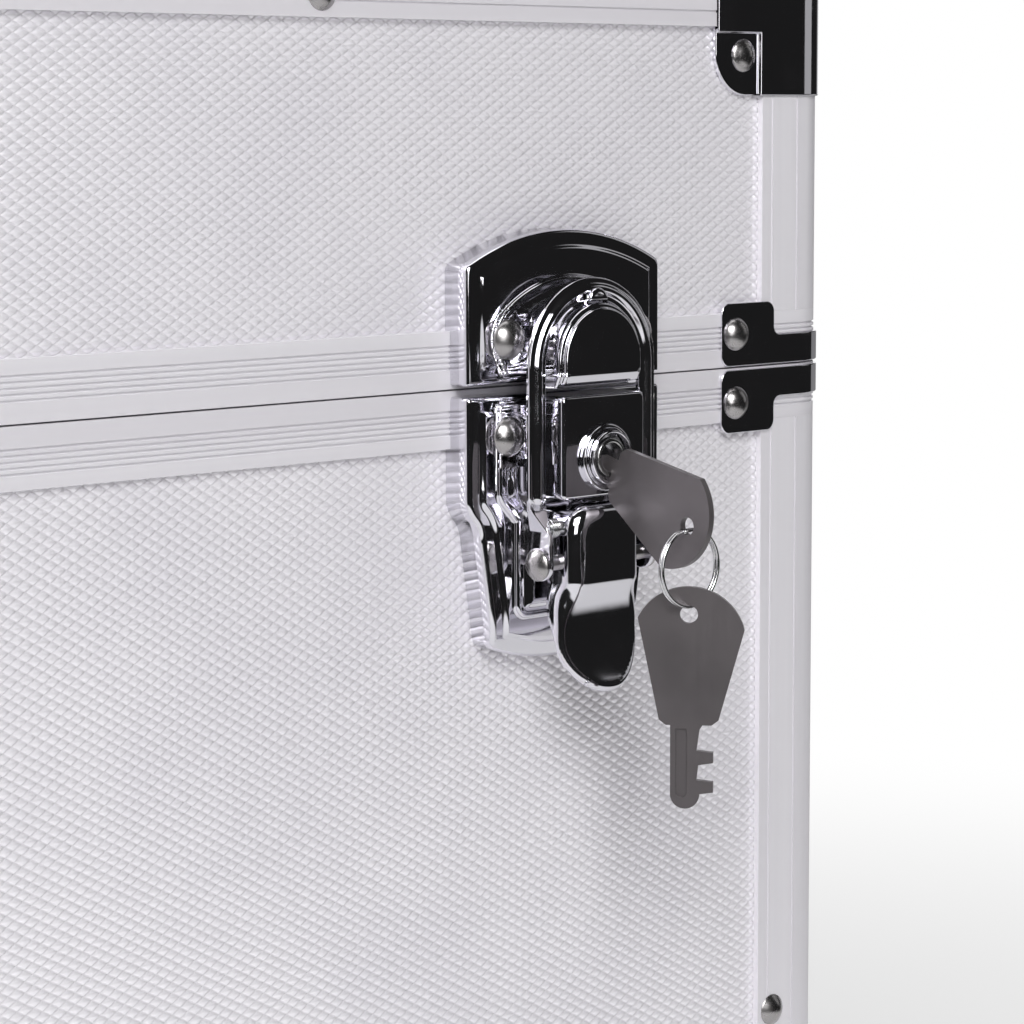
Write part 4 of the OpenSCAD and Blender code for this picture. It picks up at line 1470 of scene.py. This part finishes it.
@dataclass
class KeySet:
    """The key in the right lock, the split ring and the spare key, in latch millimetres."""

    frame: CaseFrame
    nickel: Finish
    steel: Finish
    thickness: float = 1.2
    hole: float = 18.6
    hole_radius: float = 1.55
    bow_radius: float = 9.75
    bow_centre: float = 13.6
    root: float = 5.1
    shoulder: float = -0.5
    blade: float = 2.5
    blade_shift: float = -0.65
    blade_long: float = 15.0
    droop: float = 24.0
    shoulder_v: float = -14.7
    shoulder_n: float = 17.5
    ring: float = 13.2
    wire: float = 0.62
    spare_turn: float = 40.0
    bow_turn: float = 69.75
    bow_lean: float = 6.25
    bits: tuple[float, float] = (-4.9, -10.0)
    bit_reach: float = 4.2
    mill_depth: float = 0.4
    mill_low: float = 1.9

    @property
    def hole_v(self) -> float:
        """The level of the hole of the key in the lock."""
        return self.shoulder_v - self.hole * math.sin(math.radians(self.droop))

    @property
    def hole_n(self) -> float:
        """How far that hole stands out from the case."""
        return self.shoulder_n + self.hole * math.cos(math.radians(self.droop))

    def _blank(self, flipped: bool) -> Mesh:
        """One flat key: x along it from the shoulder, y across it, z through it.

        Args:
            flipped: True for the key whose bits point the other way.

        Returns:
            The closed shape with broken edges.
        """
        centre, radius = self.bow_centre, self.bow_radius
        skew = -self.bow_lean if flipped else self.bow_lean
        first, last = math.radians(skew - self.bow_turn), math.radians(skew + self.bow_turn)
        starts = (centre + radius * math.cos(first), radius * math.sin(first))
        low = -self.blade_long
        left, right = self.blade_shift - self.blade, self.blade_shift + self.blade
        sketch = Sketch(*starts, level=self.thickness / 2)
        sketch.arc(centre, 0, math.degrees(last - first), 48)
        sketch.line(self.shoulder + 0.9, self.root).line(self.shoulder, self.root - 1.2)
        sketch.line(self.shoulder, right + 0.5).line(self.shoulder - 0.8, right)
        for a in self.bits:
            sketch.line(a, right - 0.5).line(a - 0.3, self.bit_reach).line(a - 2.1, self.bit_reach)
            sketch.line(a - 2.5, right - 0.2)
        sketch.line(low + self.blade, right).arc(low + self.blade, self.blade_shift, 180, 20)
        sketch.line(self.shoulder, left).line(self.shoulder, 1.2 - self.root)
        sketch.line(self.shoulder + 0.9, -self.root).line(*starts)
        sketch.start(self.hole + self.hole_radius, 0).arc(self.hole, 0, 360, 28)
        near, far = left + 0.95, left + 2.85
        mill = (far - near) / 2
        sketch.start(self.shoulder - 0.6, near).line(self.shoulder - 0.6, far)
        sketch.line(low + 2.9, far).arc(low + 2.9, near + mill, 180, 10)
        sketch.line(self.shoulder - 0.6, near)
        mesh = sketch.pierced()
        rim = open_rim(mesh)

        def in_mill(vert: Vert) -> bool:
            """Whether a vertex lies on the milled groove's outline."""
            across = near - 0.01 < vert.co.y < far + 0.01
            return across and low + self.mill_low < vert.co.x < self.shoulder - 0.5

        milled = [e for e in rim if all(in_mill(v) for v in e.verts)]
        self._sunk(mesh, milled, self.mill_depth)
        for vert in grow(mesh, [e for e in rim if e not in milled])[0]:
            vert.co.z = 0
        whole = mesh.verts[:] + mesh.edges[:] + mesh.faces[:]
        bmesh.ops.mirror(mesh, geom=whole, axis="Z", merge_dist=1e-4)
        face_out(mesh)
        bmesh.ops.dissolve_limit(mesh, angle_limit=0.01, verts=mesh.verts, edges=mesh.edges)
        round_edges(mesh, 0.17, 2, 50)
        return handed(mesh, flipped, (0, 1, 0))

    @staticmethod
    def _sunk(mesh: Mesh, edges: list[Edge], depth: float) -> None:
        """Gives a hole in a flat face walls and a floor."""
        tips, floor = grow(mesh, edges)
        for vert in tips:
            vert.co.z -= depth
        bmesh.ops.contextual_create(mesh, geom=floor)

    def _add(self, name: str, mesh: Mesh, finish: Finish, body: str) -> None:
        """Places one piece, shaded smooth with flat faces kept flat."""
        smooth(mesh)
        piece = add_piece(f"cut_{name}", moved(mesh, self.frame.latch(1)), finish, body, [name])
        weights = piece.modifiers.new("flat_faces", "WEIGHTED_NORMAL")
        weights.weight = 80

    def build(self) -> None:
        """Makes both keys and the ring."""
        out = Matrix(((0, 0, 1, 0), (0, -1, 0, 0), (1, 0, 0, 0), (0, 0, 0, 1)))
        droop = Matrix.Rotation(math.radians(self.droop), 4, "X")
        at_lock = shift((0, self.shoulder_v, self.shoulder_n)) @ droop @ out
        self._add("key", moved(self._blank(True), at_lock), self.nickel, "lock_right")
        ring_v = self.hole_v - 0.6
        low_v = ring_v - self.ring
        down = Matrix(((0, 1, 0, 0), (1, 0, 0, -self.hole), (0, 0, 1, 0), (0, 0, 0, 1)))
        turn = Matrix.Rotation(math.radians(self.spare_turn - 90), 4, "Y")
        hung = shift((0, low_v - 1.3, self.hole_n)) @ turn @ down
        self._add("spare_key", moved(self._blank(False), hung), self.nickel, "spare_key")
        coil = helix(self.ring / 2, self.wire, 2.02, self.wire * 1.02, 12)
        start = Matrix.Rotation(math.radians(100), 4, "Z")
        middle = shift((0, ring_v - self.ring / 2, self.hole_n - self.wire))
        self._add("split_ring", moved(coil, middle @ start), self.steel, "split_ring")


# ------------------------------------------------------------------ embossed panels


class Facing(Enum):
    """The way a panel's embossed face looks, with the turn that takes it from facing up."""

    FRONT = (90, 0)
    RIGHT = (90, 90)
    BACK = (90, 180)
    LEFT = (90, 270)
    TOP = (0, 0)
    BOTTOM = (180, 0)

    def turn(self) -> Matrix:
        """The rotation from a panel lying face up to this facing."""
        tilt, spin = self.value
        return Matrix.Rotation(math.radians(spin), 4, "Z") @ Matrix.Rotation(math.radians(tilt), 4, "X")


@dataclass
class EmbossedPanel:
    """A sandwich panel whose skin is rolled with a lattice of flat-topped diamonds."""

    node: str
    body: str
    facing: Facing
    finish: Finish
    cell_w: float = 3.17
    cell_h: float = 1.83
    groove_w: float = 0.52
    groove_d: float = 0.25
    margin: float = 3.0
    split: float = -0.16
    overlap: float = 2.2

    def build(self) -> list[Object]:
        """Makes the panel, in two stretches where it has too many cells for one.

        Returns:
            The pieces that stand for the panel's node.
        """
        low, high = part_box(self.node)
        turn = self.facing.turn()
        size = turn.inverted() @ (high - low)
        wide, tall, thick = (abs(c) / MM for c in size)
        cells = 2 * wide * tall / (self.cell_w * self.cell_h)
        stretches = [(-1, 1)] if cells < 19000 else [(-1, self.split), (self.split, 1)]
        made = []
        for start, end in stretches:
            mesh = self._stretch(wide, tall, thick, start * wide / 2, end * wide / 2)
            sunk = 0.004 if end < 1 else 0.0
            place = shift((low + high) / 2) @ turn @ Matrix.Scale(MM, 4)
            place = place @ shift((0, 0, -sunk))
            bmesh.ops.transform(mesh, matrix=place, verts=mesh.verts)
            side = "" if len(stretches) == 1 else ("_left" if end < 1 else "_right")
            name = f"embossed_{self.node}{side}"
            made.append(add_piece(name, mesh, self.finish, self.body, [self.node]))
        return made

    def _stretch(self, wide: float, tall: float, thick: float, start: float, end: float) -> Mesh:
        """Makes one stretch of the panel, lying face up round its middle.

        Args:
            wide: The whole panel's width, in mm.
            tall: Its height.
            thick: Its thickness.
            start: Where the stretch starts across the panel.
            end: Where it ends.

        Returns:
            The closed shape, in mm.
        """
        mesh = bmesh.new()
        count = int((end - start) / self.cell_w + tall / self.cell_h) + 4
        count += count % 2
        bmesh.ops.create_grid(mesh, x_segments=count, y_segments=count, size=count / 2)
        middle = round((start + end) / 2 / self.cell_w) * self.cell_w
        lattice = Matrix(
            (
                (self.cell_w / 2, self.cell_w / 2, 0, middle),
                (-self.cell_h / 2, self.cell_h / 2, 0, 0),
                (0, 0, 1, thick / 2),
                (0, 0, 0, 1),
            )
        )
        bmesh.ops.transform(mesh, matrix=lattice, verts=mesh.verts)
        hidden_left = self.margin if start < 0 - wide / 2 + 1 else 0
        hidden_right = self.margin if end > wide / 2 - 1 else 0
        spare_left, spare_right = (0 if h else 2 * self.cell_w for h in (hidden_left, hidden_right))
        cut(mesh, (start + hidden_left - spare_left, 0, 0), (-1, 0, 0))
        cut(mesh, (end - hidden_right + spare_right, 0, 0), (1, 0, 0))
        cut(mesh, (0, tall / 2 - self.margin, 0), (0, 1, 0))
        cut(mesh, (0, self.margin - tall / 2, 0), (0, -1, 0))
        full = 0.98 * self.cell_w * self.cell_h / 2
        cells = [f for f in mesh.faces if len(f.verts) == 4 and f.calc_area() > full]
        bmesh.ops.inset_individual(mesh, faces=cells, thickness=self.groove_w / 2, depth=0)
        tops = [v for f in cells for v in f.verts]
        for vert in {v for v in mesh.verts} - set(tops):
            vert.co.z -= self.groove_d
        beyond = [
            f
            for f in mesh.faces
            if (spare_left and f.calc_center_median().x < start - self.overlap)
            or (spare_right and f.calc_center_median().x > end + self.overlap)
        ]
        bmesh.ops.delete(mesh, geom=beyond, context="FACES")
        smooth(mesh)
        self._close(mesh, tall, thick, start if hidden_left else None, end if hidden_right else None)
        return mesh

    @staticmethod
    def _close(
        mesh: Mesh, tall: float, thick: float, start: float | None, end: float | None
    ) -> None:
        """Runs the skin out to the panel's edge and gives the panel its thickness.

        Args:
            mesh: The skin.
            tall: The panel's height.
            thick: The panel's thickness.
            start: Where the panel starts, or None where another stretch goes on.
            end: Where the panel ends, or None where another stretch goes on.
        """
        outer, _ = grow(mesh, open_rim(mesh))
        near = 0.01
        xs = (min(v.co.x for v in outer), max(v.co.x for v in outer))
        ys = (min(v.co.y for v in outer), max(v.co.y for v in outer))
        for vert in outer:
            if start is not None and vert.co.x < xs[0] + near:
                vert.co.x = start
            elif end is not None and vert.co.x > xs[1] - near:
                vert.co.x = end
            if vert.co.y < ys[0] + near:
                vert.co.y = -tall / 2
            elif vert.co.y > ys[1] - near:
                vert.co.y = tall / 2
        rim = open_rim(mesh)
        for vert in grow(mesh, rim)[0]:
            vert.co.z = -thick / 2
        low = open_rim(mesh)
        bmesh.ops.contextual_create(mesh, geom=low)
        for edge in rim + low:
            edge.smooth = False
        weld(mesh, 0.001)
        face_out(mesh)


# ------------------------------------------------------------------ studio


@dataclass(frozen=True)
class Studio:
    """White surroundings for the camera, a plain level of light and soft lamps."""

    level: float = 0.28
    dark: float = 0.012

    def build(self, case: CaseFrame) -> None:
        """Makes the world, the floor, the lamps and the camera."""
        self._world()
        self._floor(case)
        self._lamps(case)
        self._camera(case)

    def _world(self) -> None:
        """White to the camera, plain to diffuse light, a dark studio in reflections."""
        world = bpy.data.worlds.new("studio")
        world.use_nodes = True
        bpy.context.scene.world = world
        tree = Tree(world.node_tree)
        split = tree.add(
            "ShaderNodeSeparateXYZ", None, {0: tree.add("ShaderNodeTexCoord").outputs["Generated"]}
        )
        rays = tree.add("ShaderNodeLightPath")
        behind = tree.value(split, 1).ramp(0.25, 0.6)
        mirrored = behind * (1 - self.dark) + self.dark
        glossy = tree.value(rays, "Is Glossy Ray")
        seen = tree.value(rays, "Is Camera Ray").larger(tree.value(rays, "Is Transmission Ray"))
        strength = (mirrored * glossy + self.level * (1 - glossy)) * (1 - seen) + seen
        sky = {"Color": (1, 1, 1, 1), "Strength": strength}
        background = tree.add("ShaderNodeBackground", None, sky)
        tree.add("ShaderNodeOutputWorld", None, {"Surface": background.outputs[0]})

    def _floor(self, case: CaseFrame) -> None:
        """A white floor that keeps the shadow near the case and fades out far from it."""
        mesh = bmesh.new()
        bmesh.ops.create_grid(mesh, x_segments=1, y_segments=1, size=12)
        data = bpy.data.meshes.new("floor")
        mesh.to_mesh(data)
        mesh.free()
        floor = placed("floor", data)
        material = bpy.data.materials.new("white_floor")
        material.use_nodes = True
        tree = Tree(material.node_tree)
        x, y, _ = tree.axes()
        away = (x * x + (y - case.middle_y) ** 2) ** 0.5
        rays = tree.add("ShaderNodeLightPath")
        seen = tree.value(rays, "Is Camera Ray")
        glossy = tree.value(rays, "Is Glossy Ray")
        paper = tree.add("ShaderNodeBsdfDiffuse", None, {"Color": (0.93, 0.93, 0.93, 1)})
        glow = tree.add("ShaderNodeEmission", None, {"Color": (1, 1, 1, 1), "Strength": 1.0})
        gloom = tree.add("ShaderNodeEmission", None, {"Color": (1, 1, 1, 1), "Strength": self.dark})
        in_front = (case.low.y - y).ramp(0.0, 0.15)
        mirror_fade = away.ramp(0.56, 0.72) * in_front * 0.75 + 0.25
        mirrored = tree.add(
            "ShaderNodeMixShader",
            None,
            {0: mirror_fade * glossy, 1: paper.outputs[0], 2: gloom.outputs[0]},
        )
        whole = tree.add(
            "ShaderNodeMixShader",
            None,
            {0: away.ramp(0.45, 1.1) * seen, 1: mirrored.outputs[0], 2: glow.outputs[0]},
        )
        tree.add("ShaderNodeOutputMaterial", None, {"Surface": whole.outputs[0]})
        data.materials.append(material)

    @staticmethod
    def _lamp(
        name: str, at: Sequence[float], aim: Vector, size: tuple[float, float], power: float
    ) -> None:
        """Adds one soft box.

        Args:
            name: The lamp's name.
            at: Its middle, in metres.
            aim: The point that it faces.
            size: Its width and height.
            power: Its power in watts.
        """
        data = bpy.data.lights.new(name, "AREA")
        data.shape = "RECTANGLE"
        data.size, data.size_y = size
        data.energy = power
        lamp = placed(name, data)
        lamp.location = at
        lamp.rotation_mode = "QUATERNION"
        lamp.rotation_quaternion = (aim - Vector(at)).to_track_quat("-Z", "Y")

    def _lamps(self, case: CaseFrame) -> None:
        """A large soft box up in front, and weaker ones on the left, right, top and back."""
        aim = Vector((0.05, case.low.y, case.seam))
        self._lamp("key_box", (-0.72, -1.15, 1.28), aim, (0.9, 0.7), 21.0)
        self._lamp("left_box", (-0.30, -0.70, 0.45), aim, (0.25, 0.40), 1.0)
        self._lamp("right_box", (1.3, -0.55, 0.75), aim, (0.5, 1.0), 0.6)
        self._lamp("top_box", (0.1, 0.15, 1.6), aim, (1.2, 1.0), 6.0)
        self._lamp("back_box", (0.3, 1.5, 1.0), aim, (1.4, 1.0), 6.0)

    @staticmethod
    def _camera(case: CaseFrame) -> None:
        """The photograph's viewpoint: close to the right latch, from the left."""
        data = bpy.data.cameras.new("viewpoint")
        data.lens = 113.2
        data.sensor_width = 36
        data.clip_start = 0.01
        camera = placed("viewpoint", data)
        ahead = Vector((0.6769, 0.7260, -0.1213)).normalized()
        across = ahead.cross(Vector((0, 0, 1))).normalized()
        up = across.cross(ahead)
        turn = Matrix((across, up, -ahead)).transposed()
        roll = Matrix.Rotation(-0.0036, 3, "Z")
        camera.rotation_mode = "QUATERNION"
        camera.rotation_quaternion = (turn @ roll).to_quaternion()
        camera.location = (case.latch_x - 0.3912, case.middle_y - 0.5250, 0.3224)
        bpy.context.scene.camera = camera


# ------------------------------------------------------------------ the case


@dataclass
class CarryingCase:
    """The whole case, with its finishes and the pieces that it is dressed with."""

    frame: CaseFrame

    def __post_init__(self) -> None:
        """Chooses the finishes."""
        middle = self.frame.middle_y
        half = (self.frame.high - self.frame.low) / 2
        self.sheet = EmbossedSheet("embossed_sheet", "embossed_sheet")
        self.upright = DrawnAluminium("upright_profile", "edge_profile", upright=True)
        self.run = DrawnAluminium(
            "run_profile", "edge_profile", half_gap=(half.x, half.y), middle=middle
        )
        self.band = DrawnAluminium(
            "closure_band", "closure_band", half_gap=(half.x, half.y), middle=middle
        )
        self.chrome = Plating("chrome", "chrome_steel")
        self.rivet = Plating("rivet_steel", "rivet_steel", (0.45, 0.435, 0.435, 1), 0.26, 0.12, 0.03)
        self.steel = Plating("bright_steel", "steel", (0.66, 0.66, 0.67, 1), 0.18, 0.08, 0.02)
        self.lock = Plating("lock_metal", "lock_metal", (0.5, 0.5, 0.5, 1), 0.2, 0.08, 0.02)
        self.nickel = BrushedSteel("key_nickel", "key_nickel")
        self.foam = Moulding("foam", "foam", (0.018, 0.018, 0.02, 1), 0.85, 1500, 0.25)
        self.rubber = Moulding("rubber", "rubber")
        self.plastic = Moulding("grip_plastic", "grip_plastic", (0.015, 0.015, 0.017, 1), 0.42, 1500)

    def dressings(self) -> list[Dressing]:
        """The nodes that keep their own shape, with their finish and broken edges."""
        made = [
            Dressing("base_upright_profiles", "base", self.upright),
            Dressing("lid_upright_profiles", "lid", self.upright),
            Dressing("base_bottom_profiles", "base", self.run),
            Dressing("lid_top_profiles", "lid", self.run),
            Dressing("base_closure_band", "base", self.band, 0.08),
            Dressing("lid_closure_band", "lid", self.band, 0.08),
        ]
        for body in ("base", "lid"):
            made += [
                Dressing(f"{body}_corner_caps", body, self.chrome, 0.3, 3, 0.45),
                Dressing(f"{body}_braces", body, self.chrome, 0.2, 3, 0.45),
                Dressing(f"{body}_rivets", body, self.rivet, 0.2, 2, 0.45),
                Dressing(f"{body}_lining", body, self.foam, 0.5, 2),
                Dressing(f"hinge_{body}_leaves", body, self.steel, 0.25, 2),
            ]
        made += [
            Dressing("feet", "base", self.rubber, 0.6, 3),
            Dressing("foot_screws", "base", self.steel, 0.2, 2),
            Dressing("hinge_pins", "base", self.steel, 0.4, 3),
            Dressing("handle_brackets", "lid", self.chrome, 0.6, 3),
            Dressing("handle_bail", "handle", self.steel, 0.6, 3),
            Dressing("handle_grip", "handle", self.plastic, 0.4, 2),
        ]
        for side in ("right", "left"):
            made += [
                Dressing(f"pivot_pin_{side}", "base", self.steel, 0.3, 3),
                Dressing(f"lock_cam_{side}", f"lock_{side}", self.steel, 0.1, 1),
            ]
        return made

    def panels(self) -> list[EmbossedPanel]:
        """The embossed panels of the base and the lid."""
        made = []
        for body in ("base", "lid"):
            for facing in (Facing.FRONT, Facing.RIGHT, Facing.BACK, Facing.LEFT):
                node = f"{body}_{facing.name.lower()}_panel"
                made.append(EmbossedPanel(node, body, facing, self.sheet))
        made.append(EmbossedPanel("lid_top_panel", "lid", Facing.TOP, self.sheet))
        made.append(EmbossedPanel("base_floor_panel", "base", Facing.BOTTOM, self.sheet))
        return made

    def build(self) -> None:
        """Makes every piece."""
        bodies = {o["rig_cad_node"]: o["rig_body"] for o in bpy.data.objects if "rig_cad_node" in o}
        for dressing in self.dressings():
            if bodies[dressing.node] != dressing.body:
                LOG.warning("%s rides on %s", dressing.node, bodies[dressing.node])
            dressing.apply(self.frame)
        for side in ("right", "left"):
            DrawLatch(side, self.frame, self.chrome, self.rivet, self.steel, self.lock).build()
        KeySet(self.frame, self.nickel, self.steel).build()
        for panel in self.panels():
            panel.build()


def main() -> None:
    """Loads the frame, builds the case and its studio, and logs each new piece's face count."""
    logging.basicConfig(level=logging.INFO, format="%(message)s")
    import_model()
    bpy.context.scene.view_settings.view_transform = "Standard"
    case = CaseFrame.measure()
    Studio().build(case)
    CarryingCase(case).build()


if __name__ == "__main__":
    main()
